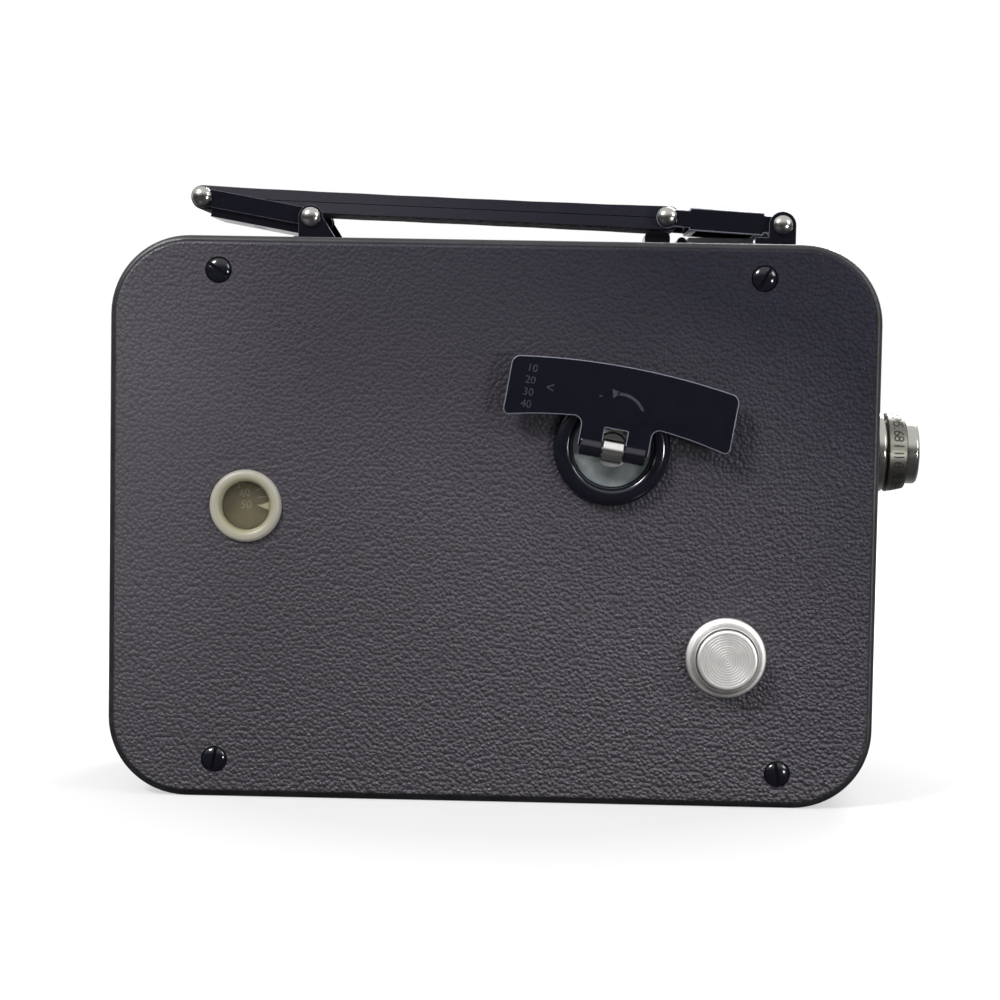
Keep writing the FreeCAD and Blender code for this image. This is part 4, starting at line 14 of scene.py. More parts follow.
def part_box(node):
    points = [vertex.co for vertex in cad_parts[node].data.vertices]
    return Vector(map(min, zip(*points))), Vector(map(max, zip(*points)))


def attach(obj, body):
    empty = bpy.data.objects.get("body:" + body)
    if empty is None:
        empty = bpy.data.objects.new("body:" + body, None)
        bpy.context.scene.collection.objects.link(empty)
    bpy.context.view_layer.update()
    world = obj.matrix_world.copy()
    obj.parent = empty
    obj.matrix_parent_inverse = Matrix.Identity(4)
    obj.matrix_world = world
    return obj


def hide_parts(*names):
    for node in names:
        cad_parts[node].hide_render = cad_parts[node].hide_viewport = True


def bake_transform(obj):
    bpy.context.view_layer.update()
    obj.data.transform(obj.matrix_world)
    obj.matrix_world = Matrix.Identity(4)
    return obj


bl_info = {
    "name": "Movie camera",
    "version": (1, 0, 0),
    "blender": (4, 5, 0),
    "location": "View3D > Sidebar > Movie camera",
    "description": "Dresses the solids of a leather covered movie camera",
    "category": "Object",
}

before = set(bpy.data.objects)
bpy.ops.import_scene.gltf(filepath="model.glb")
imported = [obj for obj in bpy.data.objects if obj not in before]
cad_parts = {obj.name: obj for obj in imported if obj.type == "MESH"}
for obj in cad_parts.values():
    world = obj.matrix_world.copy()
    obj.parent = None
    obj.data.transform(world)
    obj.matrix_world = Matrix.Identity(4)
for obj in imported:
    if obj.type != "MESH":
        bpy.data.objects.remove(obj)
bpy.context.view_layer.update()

MM = 0.001
# A turned piece starts and ends on a ring this small, which merging closes to a pole
TIP = 0.008
AXES = {"X": Vector((1, 0, 0)), "Y": Vector((0, 1, 0)), "Z": Vector((0, 0, 1))}
FACING = {"X": (0, math.pi / 2, 0), "Y": (math.pi / 2, 0, 0), "Z": (0, 0, 0)}


def mm(*values):
    return Vector(values) * MM


def low(node):
    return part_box(node)[0] / MM


def high(node):
    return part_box(node)[1] / MM


def middle(node):
    return (low(node) + high(node)) / 2


# Places read from the solids

CUP = middle("key_cup")
RING = middle("counter_bezel")
BUTTON = middle("release_collar")
LENS = middle("lens_front_ring")
LOCK_X = middle("door_lock").x
FACE = low("side_leather").y
COVER = high("side_leather").y
DOOR_FACE = high("door_leather").y
TOP = high("case_leather").z
FRONT = high("case_leather").x
PIN_LINE = middle("key_hinge_pin")

# Places and sizes that are the solids' own too; a pair is the X and Z of an axis along Y

CORNER, BAND = 17, 0.8
LOCK_Z = 30
SCREWS = [(-59.2, 8.3), (-59.2, 113.6), (62.2, 7.6), (57.1, 113.6)]
REAR_PIN, FRONT_PIN = (-65.35, 130.2), (36.9, 127.2)
REAR_STUD, FRONT_STUD = (-41.2, 126.0), (62.0, 125.8)
STRAP_LENGTH = math.dist(REAR_PIN, FRONT_PIN)
STRAP_SLOPE = math.atan2(REAR_PIN[1] - FRONT_PIN[1], FRONT_PIN[0] - REAR_PIN[0])
KEY_TILT = math.radians(9.5)
DIAL_AT = (-61.9, 63.3)
# The dial's last number, and how many degrees it turns for each unit of its scale
FULL_DIAL = 50
DIAL_STEP = 82 / FULL_DIAL
# The iris ring's widest radius, how far in front of its back that is, and its cone's slope
IRIS_RADIUS, IRIS_LEAD, IRIS_TAPER = 9.0, 0.4, 0.19


def linear(code):
    """An sRGB hex colour as linear red, green, blue and alpha."""
    parts = [int(code[at:at + 2], 16) / 255 for at in (1, 3, 5)]
    return tuple(p / 12.92 if p <= 0.04045 else ((p + 0.055) / 1.055) ** 2.4
                 for p in parts) + (1.0,)


def colour_prop(name, description, code):
    return bpy.props.FloatVectorProperty(name=name, description=description, subtype="COLOR",
                                         size=4, min=0, max=1, default=linear(code))


def length_prop(name, description, value):
    return bpy.props.FloatProperty(name=name, description=description, default=value * MM,
                                   min=0, unit="LENGTH", subtype="DISTANCE", precision=5)


class CameraLeather(bpy.types.PropertyGroup):
    base: colour_prop("Leather", "Colour of the leather's pebbles", "#2a272c")
    # The creases' colour is painted shade between the pebbles
    crease: colour_prop("Creases", "Colour between the pebbles", "#141217")
    # The rear end's grey is partly rubbing, partly a painted sheen
    worn: colour_prop("Worn leather", "Grey of the rubbed end", "#454246")
    pebble: length_prop("Pebble", "Width of one pebble of the grain", 0.86)
    depth: length_prop("Grain depth", "Depth of the creases", 0.25)
    edge: length_prop("Edge", "Rounding of the panels' outer edge", 0.6)
    cut_edge: length_prop("Cut edge", "Rounding of the leather round the fittings", 0.22)


class CameraMetal(bpy.types.PropertyGroup):
    enamel: colour_prop("Enamel", "Black stoved enamel", "#0b0b12")
    nickel: colour_prop("Nickel", "Polished nickel plate", "#e9e7e5")
    satin: colour_prop("Satin nickel", "Brushed nickel plate", "#b4b0a8")
    ring: colour_prop("Aged ring", "Yellowed paint of the window's ring", "#949180")
    dial: colour_prop("Dial", "Paint of the footage dial", "#8f866a")
    edge: length_prop("Broken edge", "Rounding of the stamped metal's edges", 0.18)


class CameraKey(bpy.types.PropertyGroup):
    half: length_prop("Wing", "Half the length of the wing", 24.4)
    crown: length_prop("Upper edge", "Top of the wing over its hinge", 18.2)
    lower: length_prop("Lower edge", "Lower edge of the wing over its hinge", 6.5)
    neck: length_prop("Neck", "Half the width of the neck", 7.6)
    thickness: length_prop("Thickness", "Thickness of the key's plate", 1.6)


class CameraButton(bpy.types.PropertyGroup):
    # Turning marks are finer than this pitch, at which they still show from a distance
    radius: length_prop("Button", "Radius of the release button", 6.45)
    pitch: length_prop("Turning marks", "Distance between the rings on its face", 0.56)
    collar: length_prop("Collar", "Radius of the collar at the leather", 8.65)


class CameraStrap(bpy.types.PropertyGroup):
    width: length_prop("Width", "Width of the handle", 19.6)
    thickness: length_prop("Thickness", "Both layers of the handle", 5.3)
    stitch: length_prop("Stitch", "Distance from stitch to stitch", 3.4)
    inset: length_prop("Seam", "Seam from the handle's edge", 2.2)


class CameraStage(bpy.types.PropertyGroup):
    floor: colour_prop("Floor", "Colour of the floor", "#f2f2f2")
    lamp: bpy.props.FloatProperty(name="Lamps", description="Strength of the lamps",
                                  default=1.0, min=0, subtype="FACTOR", soft_max=3)
    lens: bpy.props.FloatProperty(name="Focal length", description="Camera's focal length",
                                  default=82.62, min=1, unit="CAMERA")


# Building in edit mode


def clear_selection():
    if bpy.context.object and bpy.context.object.mode != "OBJECT":
        bpy.ops.object.mode_set(mode="OBJECT")
    bpy.ops.object.select_all(action="DESELECT")


def only(piece):
    clear_selection()
    piece.select_set(True)
    bpy.context.view_layer.objects.active = piece
    return piece


def open_mesh(piece):
    """Opens a piece in edit mode with its whole mesh selected."""
    only(piece)
    bpy.ops.object.mode_set(mode="EDIT")
    bpy.ops.mesh.select_all(action="SELECT")


def close_mesh():
    bpy.ops.object.mode_set(mode="OBJECT")


def settle(piece):
    """Leaves the piece's place in its mesh and its object at the origin."""
    only(piece)
    bpy.ops.object.transform_apply(location=True, rotation=True, scale=True)
    return piece


def block(x, y, z):
    """A box between places along the axes."""
    clear_selection()
    bpy.ops.mesh.primitive_cube_add(size=1, location=mm((x[0] + x[1]) / 2, (y[0] + y[1]) / 2,
                                                        (z[0] + z[1]) / 2),
                                    scale=mm(x[1] - x[0], y[1] - y[0], z[1] - z[0]))
    return settle(bpy.context.object)


def rod(axis, at, span, radius, sides=64):
    """A cylinder along an axis; at is its centre, whose place along the axis isn't used."""
    place = Vector(at)
    place["XYZ".index(axis)] = (span[0] + span[1]) / 2
    clear_selection()
    bpy.ops.mesh.primitive_cylinder_add(vertices=sides, radius=radius * MM,
                                        depth=(span[1] - span[0]) * MM, location=place * MM,
                                        rotation=FACING[axis])
    return settle(bpy.context.object)


def turned(axis, at, profile, sides=96):
    """A turned piece: a circle is drawn from ring to ring, each a place and a radius."""
    along = AXES[axis]
    number = "XYZ".index(axis)
    centre = Vector(at)
    centre[number] = 0
    place, radius = profile[0][0], max(profile[0][1], TIP)
    clear_selection()
    bpy.ops.mesh.primitive_circle_add(vertices=sides, radius=radius * MM,
                                      location=(centre + along * place) * MM,
                                      rotation=FACING[axis], enter_editmode=True)
    bpy.ops.mesh.select_mode(type="VERT")
    bpy.ops.mesh.select_all(action="SELECT")
    for next_place, next_radius in profile[1:]:
        next_radius = max(next_radius, TIP)
        step = along * (next_place - place) * MM
        bpy.ops.mesh.extrude_region_move(TRANSFORM_OT_translate={"value": step})
        factor = [next_radius / radius] * 3
        factor[number] = 1
        bpy.ops.transform.resize(value=factor,
                                 center_override=(centre + along * next_place) * MM)
        place, radius = next_place, next_radius
    tidy_mesh(TIP * 2.2)
    close_mesh()
    return settle(bpy.context.object)


def tidy_mesh(distance):
    """Closes the poles and the seam and turns the faces outwards, in edit mode."""
    bpy.ops.mesh.select_all(action="SELECT")
    bpy.ops.mesh.remove_doubles(threshold=distance * MM)
    bpy.ops.mesh.normals_make_consistent(inside=False)


def pick(piece, test, kind="edges"):
    """Opens a piece and selects the edges or faces for which the test is true."""
    only(piece)
    bpy.ops.object.mode_set(mode="EDIT")
    bpy.ops.mesh.select_mode(type={"edges": "EDGE", "faces": "FACE"}[kind])
    bpy.ops.mesh.select_all(action="DESELECT")
    mesh = bmesh.from_edit_mesh(piece.data)
    for part in getattr(mesh, kind):
        part.select_set(bool(test(part)))
    mesh.select_flush_mode()
    bmesh.update_edit_mesh(piece.data)


def runs_along(edge, axis):
    step = edge.verts[1].co - edge.verts[0].co
    return abs(step.normalized().dot(AXES[axis])) > 0.999


def lies_at(part, axis, place, slack=0.02):
    number = "XYZ".index(axis)
    return all(abs(vert.co[number] / MM - place) < slack for vert in part.verts)


def round_picked(width, segments):
    bpy.ops.mesh.bevel(offset=width * MM, segments=segments, affect="EDGES",
                       clamp_overlap=True)
    close_mesh()


def combine(piece, tool, operation="DIFFERENCE"):
    """Cuts the tool from the piece, or joins or intersects them, and removes the tool."""
    only(piece)
    modifier = piece.modifiers.new(operation.title(), "BOOLEAN")
    modifier.operation, modifier.object, modifier.solver = operation, tool, "EXACT"
    bpy.ops.object.modifier_apply(modifier=modifier.name)
    bpy.data.objects.remove(tool)
    return piece


def break_edges(piece, width, segments=2, angle=32, worn=False):
    """Rounds every sharp edge, as tumbling or long use does; with paler set, the rounded faces get
    the second material, the grey that paints their highlight.
    """
    only(piece)
    modifier = piece.modifiers.new("Broken edge", "BEVEL")
    if worn:
        piece.data.materials.append(None)
        piece.data.materials.append(None)
        modifier.material = 1
    modifier.width, modifier.segments = width * MM, segments
    modifier.limit_method, modifier.angle_limit = "ANGLE", math.radians(angle)
    modifier.miter_outer = "MITER_ARC"
    bpy.ops.object.modifier_apply(modifier=modifier.name)
    return piece


def join(*pieces):
    """Several shells as one piece."""
    only(pieces[0])
    for piece in pieces[1:]:
        piece.select_set(True)
    bpy.ops.object.join()
    return bpy.context.object


def copy_of(piece, step=(0, 0, 0)):
    twin = piece.copy()
    twin.data = piece.data.copy()
    twin.data.transform(Matrix.Translation(mm(*step)))
    bpy.context.scene.collection.objects.link(twin)
    return twin


def swing(piece, angle, about):
    """Turns a piece about the Y axis through a point; a positive angle lowers +X."""
    turn = Matrix.Rotation(angle, 4, "Y")
    place = Matrix.Translation(mm(*about))
    piece.data.transform(place @ turn @ place.inverted())
    return piece


def softened(node, width=None, segments=2, worn=False):
    """A solid's own mesh with its sharp edges rounded, for stamped and milled pieces."""
    width = bpy.context.scene.camera_metal.edge / MM if width is None else width
    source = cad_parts[node]
    piece = source.copy()
    piece.data = source.data.copy()
    piece.parent = None
    # The copy drops the tags by which the frame knows its solid
    for key in list(piece.keys()):
        del piece[key]
    bpy.context.scene.collection.objects.link(piece)
    piece.data.materials.clear()
    open_mesh(piece)
    bpy.ops.mesh.customdata_custom_splitnormals_clear()
    bpy.ops.mesh.remove_doubles(threshold=1e-6)
    bpy.ops.mesh.dissolve_limited(angle_limit=math.radians(0.5))
    close_mesh()
    return break_edges(piece, width, segments, worn=worn)


def finish(piece, name, body, material, replaced=(), angle=32, edge=None):
    """Names, shades and paints a piece and the faces that take its second material, and makes it
    ride on its body.
    """
    only(piece)
    bpy.ops.object.shade_smooth_by_angle(angle=math.radians(angle))
    modifier = piece.modifiers.new("Flat faces", "WEIGHTED_NORMAL")
    modifier.keep_sharp = True
    bpy.ops.object.modifier_apply(modifier=modifier.name)
    piece.name = piece.data.name = name
    numbers = [side.material_index for side in piece.data.polygons]
    piece.data.materials.clear()
    piece.data.materials.append(material)
    if edge:
        piece.data.materials.append(edge)
        piece.data.polygons.foreach_set("material_index", numbers)
    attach(piece, body)
    if replaced:
        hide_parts(*replaced)
    return piece


def lettering(text, size, depth=0.06):
    """Numbers as a thin solid mesh, flat in XY and centred on the origin."""
    clear_selection()
    bpy.ops.object.text_add()
    words = bpy.context.object
    words.data.body = text
    words.data.size = size * MM
    words.data.align_x = words.data.align_y = "CENTER"
    words.data.extrude = depth * MM / 2
    words.data.resolution_u = 3
    bpy.ops.object.convert(target="MESH")
    open_mesh(bpy.context.object)
    bpy.ops.mesh.remove_doubles(threshold=1e-6)
    close_mesh()
    return bpy.context.object


def on_winding_side(piece, x, y, z, turn=0.0):
    """Stands a flat mark up on a face that looks to -Y."""
    piece.data.transform(Matrix.Translation(mm(x, y, z)) @ Matrix.Rotation(turn, 4, "Y")
                         @ Matrix.Rotation(math.pi / 2, 4, "X"))
    return piece


# Materials


def add(tree, kind, inputs=None, **settings):
    """Adds a node; an input that is a socket is linked, and any other is its value."""
    made = tree.nodes.new("ShaderNode" + kind)
    for name, value in settings.items():
        setattr(made, name, value)
    for key, value in (inputs or {}).items():
        if isinstance(value, bpy.types.NodeSocket):
            tree.links.new(value, made.inputs[key])
        else:
            made.inputs[key].default_value = value
    return made


def started(name):
    """A material with its shader, and its object coordinates in millimetres."""
    material = bpy.data.materials.new(name)
    material.use_nodes = True
    tree = material.node_tree
    tree.nodes.clear()
    shader = add(tree, "BsdfPrincipled")
    add(tree, "OutputMaterial", {"Surface": shader.outputs[0]})
    place = add(tree, "Mapping", {"Vector": add(tree, "TexCoord").outputs["Object"],
                                  "Scale": (1 / MM, 1 / MM, 1 / MM)})
    return material, tree, shader, place.outputs[0]


def join_to(tree, shader, **links):
    for name, socket in links.items():
        tree.links.new(socket, shader.inputs[name.replace("_", " ")])


def grained_leather(name, base, crease, worn, pebble=1.0, depth=0.16, sheen_and_rub=0.0, gloss=0.3):
    """Embossed leathercloth: plump pebbles that catch the light, with painted shade in the creases
    between them.
    """
    material, tree, shader, place = started(name)
    # Cells of one pebble's width, bent a little, with folds of half a pebble across them
    stir = add(tree, "TexNoise", {"Vector": place, "Scale": 0.9 / pebble, "Detail": 2.0})
    bent = add(tree, "MixRGB", {"Fac": 0.1 * pebble, "Color1": place,
                                "Color2": stir.outputs["Color"]}, blend_type="LINEAR_LIGHT")
    grains = add(tree, "TexVoronoi", {"Vector": bent.outputs[0], "Scale": 1 / pebble,
                                      "Randomness": 0.9, "Smoothness": 0.25},
                 feature="SMOOTH_F1")
    folds = add(tree, "TexVoronoi", {"Vector": bent.outputs[0], "Scale": 2.1 / pebble})
    square = add(tree, "Math", {0: grains.outputs["Distance"], 1: 1.35}, operation="POWER")
    dome = add(tree, "Math", {0: square.outputs[0], 1: -1.55, 2: 1.0}, operation="MULTIPLY_ADD")
    small = add(tree, "Math", {0: folds.outputs["Distance"], 1: -0.3, 2: dome.outputs[0]},
                operation="MULTIPLY_ADD")
    fine = add(tree, "TexNoise", {"Vector": place, "Scale": 4.0, "Detail": 3.0})
    height = add(tree, "Math", {0: fine.outputs["Fac"], 1: 0.25, 2: small.outputs[0]},
                 operation="MULTIPLY_ADD")
    # Darker and bluer towards the upper front corner, lighter and browner elsewhere: partly the
    # dye's tone, partly painted shade where the lamps' light falls off
    along_x, along_z, wander, lighter_brown, shaded_navy = 0.5, 0.9, 40.0, 66.0, 146.0
    wide = add(tree, "TexNoise", {"Vector": place, "Scale": 0.02, "Detail": 3.0})
    axes = add(tree, "SeparateXYZ", {"Vector": place})
    slant = add(tree, "Math", {0: axes.outputs["X"], 1: along_x, 2: 0.0},
                operation="MULTIPLY_ADD")
    rise = add(tree, "Math", {0: axes.outputs["Z"], 1: along_z, 2: slant.outputs[0]},
               operation="MULTIPLY_ADD")
    drift = add(tree, "Math", {0: wide.outputs["Fac"], 1: wander, 2: rise.outputs[0]},
                operation="MULTIPLY_ADD")
    navy_shade = add(tree, "MapRange", {"Value": drift.outputs[0], "From Min": lighter_brown,
                                   "From Max": shaded_navy})
    tint = add(tree, "MixRGB", {"Fac": navy_shade.outputs[0], "Color1": shade(base, 1.14, 1.03, 1.03),
                                "Color2": shade(base, 0.56, 0.7, 1.0)})
    # The rear end, which the hand holds, turns grey, less so near its foot: partly rubbing by the
    # hand, partly a painted sheen
    end = add(tree, "MapRange", {"Value": axes.outputs["X"], "From Min": -46.0,
                                 "From Max": -80.0, "To Max": sheen_and_rub},
              interpolation_type="SMOOTHSTEP")
    foot = add(tree, "MapRange", {"Value": axes.outputs["Z"], "From Min": 14.0,
                                  "From Max": 46.0, "To Min": 0.35, "To Max": 1.0})
    rubbed = add(tree, "Math", {0: end.outputs[0], 1: foot.outputs[0]}, operation="MULTIPLY")
    aged = add(tree, "MixRGB", {"Fac": rubbed.outputs[0], "Color1": tint.outputs[0],
                                "Color2": worn})
    # The creases take a darker colour: painted shade
    crease_shading = add(tree, "MapRange", {"Value": height.outputs[0], "From Min": 0.1, "From Max": 0.85,
                                 "To Min": 0.8, "To Max": 0.0})
    paint = add(tree, "MixRGB", {"Fac": crease_shading.outputs[0], "Color1": aged.outputs[0],
                                 "Color2": crease})
    rough = add(tree, "MapRange", {"Value": height.outputs[0], "From Min": 0.3,
                                   "From Max": 0.95, "To Min": 0.62, "To Max": gloss})
    # Handling has flattened the grain towards the top and the rear
    full, per_x, per_z, least = 1.02, 0.0028, -0.0068, 0.3
    flat = add(tree, "Math", {0: axes.outputs["X"], 1: per_x, 2: full},
               operation="MULTIPLY_ADD")
    worn_down = add(tree, "Math", {0: axes.outputs["Z"], 1: per_z, 2: flat.outputs[0]},
                    operation="MULTIPLY_ADD")
    calm = add(tree, "Math", {0: worn_down.outputs[0], 1: least}, operation="MAXIMUM")
    bump = add(tree, "Bump", {"Height": height.outputs[0], "Distance": depth * MM,
                              "Strength": calm.outputs[0]})
    # The sheen drops with the painted shade towards the upper front corner
    sheen = add(tree, "MapRange", {"Value": navy_shade.outputs[0], "To Min": 1.0, "To Max": 0.2})
    join_to(tree, shader, Base_Color=paint.outputs[0], Roughness=rough.outputs[0],
            Specular_IOR_Level=sheen.outputs[0], Normal=bump.outputs[0])
    shader.inputs["IOR"].default_value = 1.5
    shader.inputs["Specular Tint"].default_value = (0.94, 0.91, 1.0, 1.0)
    return material


def shade(colour, red, green, blue):
    return (colour[0] * red, colour[1] * green, colour[2] * blue, 1.0)


def enamelled(name, colour, rough=0.1, orange=0.012):
    """Stoved enamel: a deep gloss with a faint orange peel, dust and hairline rubs."""
    material, tree, shader, place = started(name)
    peel = add(tree, "TexNoise", {"Vector": place, "Scale": 0.9, "Detail": 1.0})
    rubs = add(tree, "TexNoise", {"Vector": place, "Scale": 0.25, "Detail": 6.0,
                                  "Roughness": 0.75})
    dull = add(tree, "MapRange", {"Value": rubs.outputs["Fac"], "From Min": 0.35,
                                  "From Max": 0.75, "To Min": rough, "To Max": rough + 0.1})
    tone = add(tree, "MixRGB", {"Fac": rubs.outputs["Fac"], "Color1": colour,
                                "Color2": shade(colour, 1.5, 1.5, 1.7)})
    bump = add(tree, "Bump", {"Height": peel.outputs["Fac"], "Distance": orange * MM,
                              "Strength": 0.6})
    join_to(tree, shader, Base_Color=tone.outputs[0], Roughness=dull.outputs[0],
            Normal=bump.outputs[0])
    shader.inputs["IOR"].default_value = 1.52
    shader.inputs["Coat Weight"].default_value = 0.15
    shader.inputs["Coat Roughness"].default_value = 0.06
    return material


def plated(name, colour, rough=0.2, grain=(0.15, 0.15, 0.15), mark=0.004, tarnish=0.25):
    """Plated or bare metal: polishing lines, close together where grain is high, and spots."""
    material, tree, shader, place = started(name)
    # Real polishing lines are some 0.03 mm apart; these are drawn coarser, so that they show
    stretched = add(tree, "Mapping", {"Vector": place, "Scale": grain})
    lines = add(tree, "TexNoise", {"Vector": stretched.outputs[0], "Scale": 8.0, "Detail": 4.0,
                                   "Roughness": 0.7})
    film = add(tree, "TexNoise", {"Vector": place, "Scale": 0.35, "Detail": 5.0})
    spots = add(tree, "MapRange", {"Value": film.outputs["Fac"], "From Min": 0.42,
                                   "From Max": 0.72, "To Max": tarnish})
    tone = add(tree, "MixRGB", {"Fac": spots.outputs[0], "Color1": colour,
                                "Color2": shade(colour, 0.62, 0.60, 0.56)})
    dull = add(tree, "MapRange", {"Value": lines.outputs["Fac"], "From Min": 0.3,
                                  "From Max": 0.7, "To Min": rough * 0.75, "To Max": rough * 1.3})
    bump = add(tree, "Bump", {"Height": lines.outputs["Fac"], "Distance": mark * MM,
                              "Strength": 0.5})
    join_to(tree, shader, Base_Color=tone.outputs[0], Roughness=dull.outputs[0],
            Normal=bump.outputs[0])
    shader.inputs["Metallic"].default_value = 1.0
    return material


def painted(name, colour, second, rough=0.5, spot=0.6, depth=0.02):
    """Flat or aged paint: two tones in soft patches and a fine tooth."""
    material, tree, shader, place = started(name)
    cloud = add(tree, "TexNoise", {"Vector": place, "Scale": spot, "Detail": 5.0,
                                   "Roughness": 0.6})
    blend = add(tree, "MapRange", {"Value": cloud.outputs["Fac"], "From Min": 0.4,
                                   "From Max": 0.65})
    tone = add(tree, "MixRGB", {"Fac": blend.outputs[0], "Color1": colour, "Color2": second})
    tooth = add(tree, "TexNoise", {"Vector": place, "Scale": 5.0, "Detail": 3.0})
    dull = add(tree, "MapRange", {"Value": tooth.outputs["Fac"], "To Min": rough - 0.08,
                                  "To Max": rough + 0.1})
    bump = add(tree, "Bump", {"Height": tooth.outputs["Fac"], "Distance": depth * MM,
                              "Strength": 0.6})
    join_to(tree, shader, Base_Color=tone.outputs[0], Roughness=dull.outputs[0],
            Normal=bump.outputs[0])
    return material


def ring_paint(name, inner, outer, centre, near, far):
    """Ring enamel, yellower and darker towards its inner edge, between two radii in mm: partly
    yellowing, partly painted shade on the inner slope.
    """
    material, tree, shader, place = started(name)
    spread = add(tree, "Mapping", {"Vector": place, "Location": (-centre[0], 0, -centre[1]),
                                   "Scale": (1, 0, 1)})
    reach = add(tree, "VectorMath", {0: spread.outputs[0]}, operation="LENGTH")
    cloud = add(tree, "TexNoise", {"Vector": place, "Scale": 0.5, "Detail": 4.0})
    wavy = add(tree, "Math", {0: cloud.outputs["Fac"], 1: 1.2, 2: reach.outputs["Value"]},
               operation="MULTIPLY_ADD")
    inward_shade = add(tree, "MapRange", {"Value": wavy.outputs[0], "From Min": near + 0.6,
                                  "From Max": far + 0.6})
    tone = add(tree, "MixRGB", {"Fac": inward_shade.outputs[0], "Color1": inner, "Color2": outer})
    tooth = add(tree, "TexNoise", {"Vector": place, "Scale": 3.0, "Detail": 4.0})
    bump = add(tree, "Bump", {"Height": tooth.outputs["Fac"], "Distance": 0.02 * MM,
                              "Strength": 0.6})
    dull = add(tree, "MapRange", {"Value": tooth.outputs["Fac"], "To Min": 0.28, "To Max": 0.5})
    join_to(tree, shader, Base_Color=tone.outputs[0], Roughness=dull.outputs[0],
            Normal=bump.outputs[0])
    return material


def glass(name, tint, index, coat):
    """Polished glass; a bloomed lens keeps the coating's colour in its reflection."""
    material, tree, shader, place = started(name)
    smear = add(tree, "TexNoise", {"Vector": place, "Scale": 0.3, "Detail": 4.0})
    film = add(tree, "MapRange", {"Value": smear.outputs["Fac"], "To Min": 0.01, "To Max": 0.06})
    join_to(tree, shader, Roughness=film.outputs[0])
    shader.inputs["Base Color"].default_value = tint
    shader.inputs["IOR"].default_value = index
    shader.inputs["Transmission Weight"].default_value = 1.0
    shader.inputs["Specular Tint"].default_value = coat
    return material


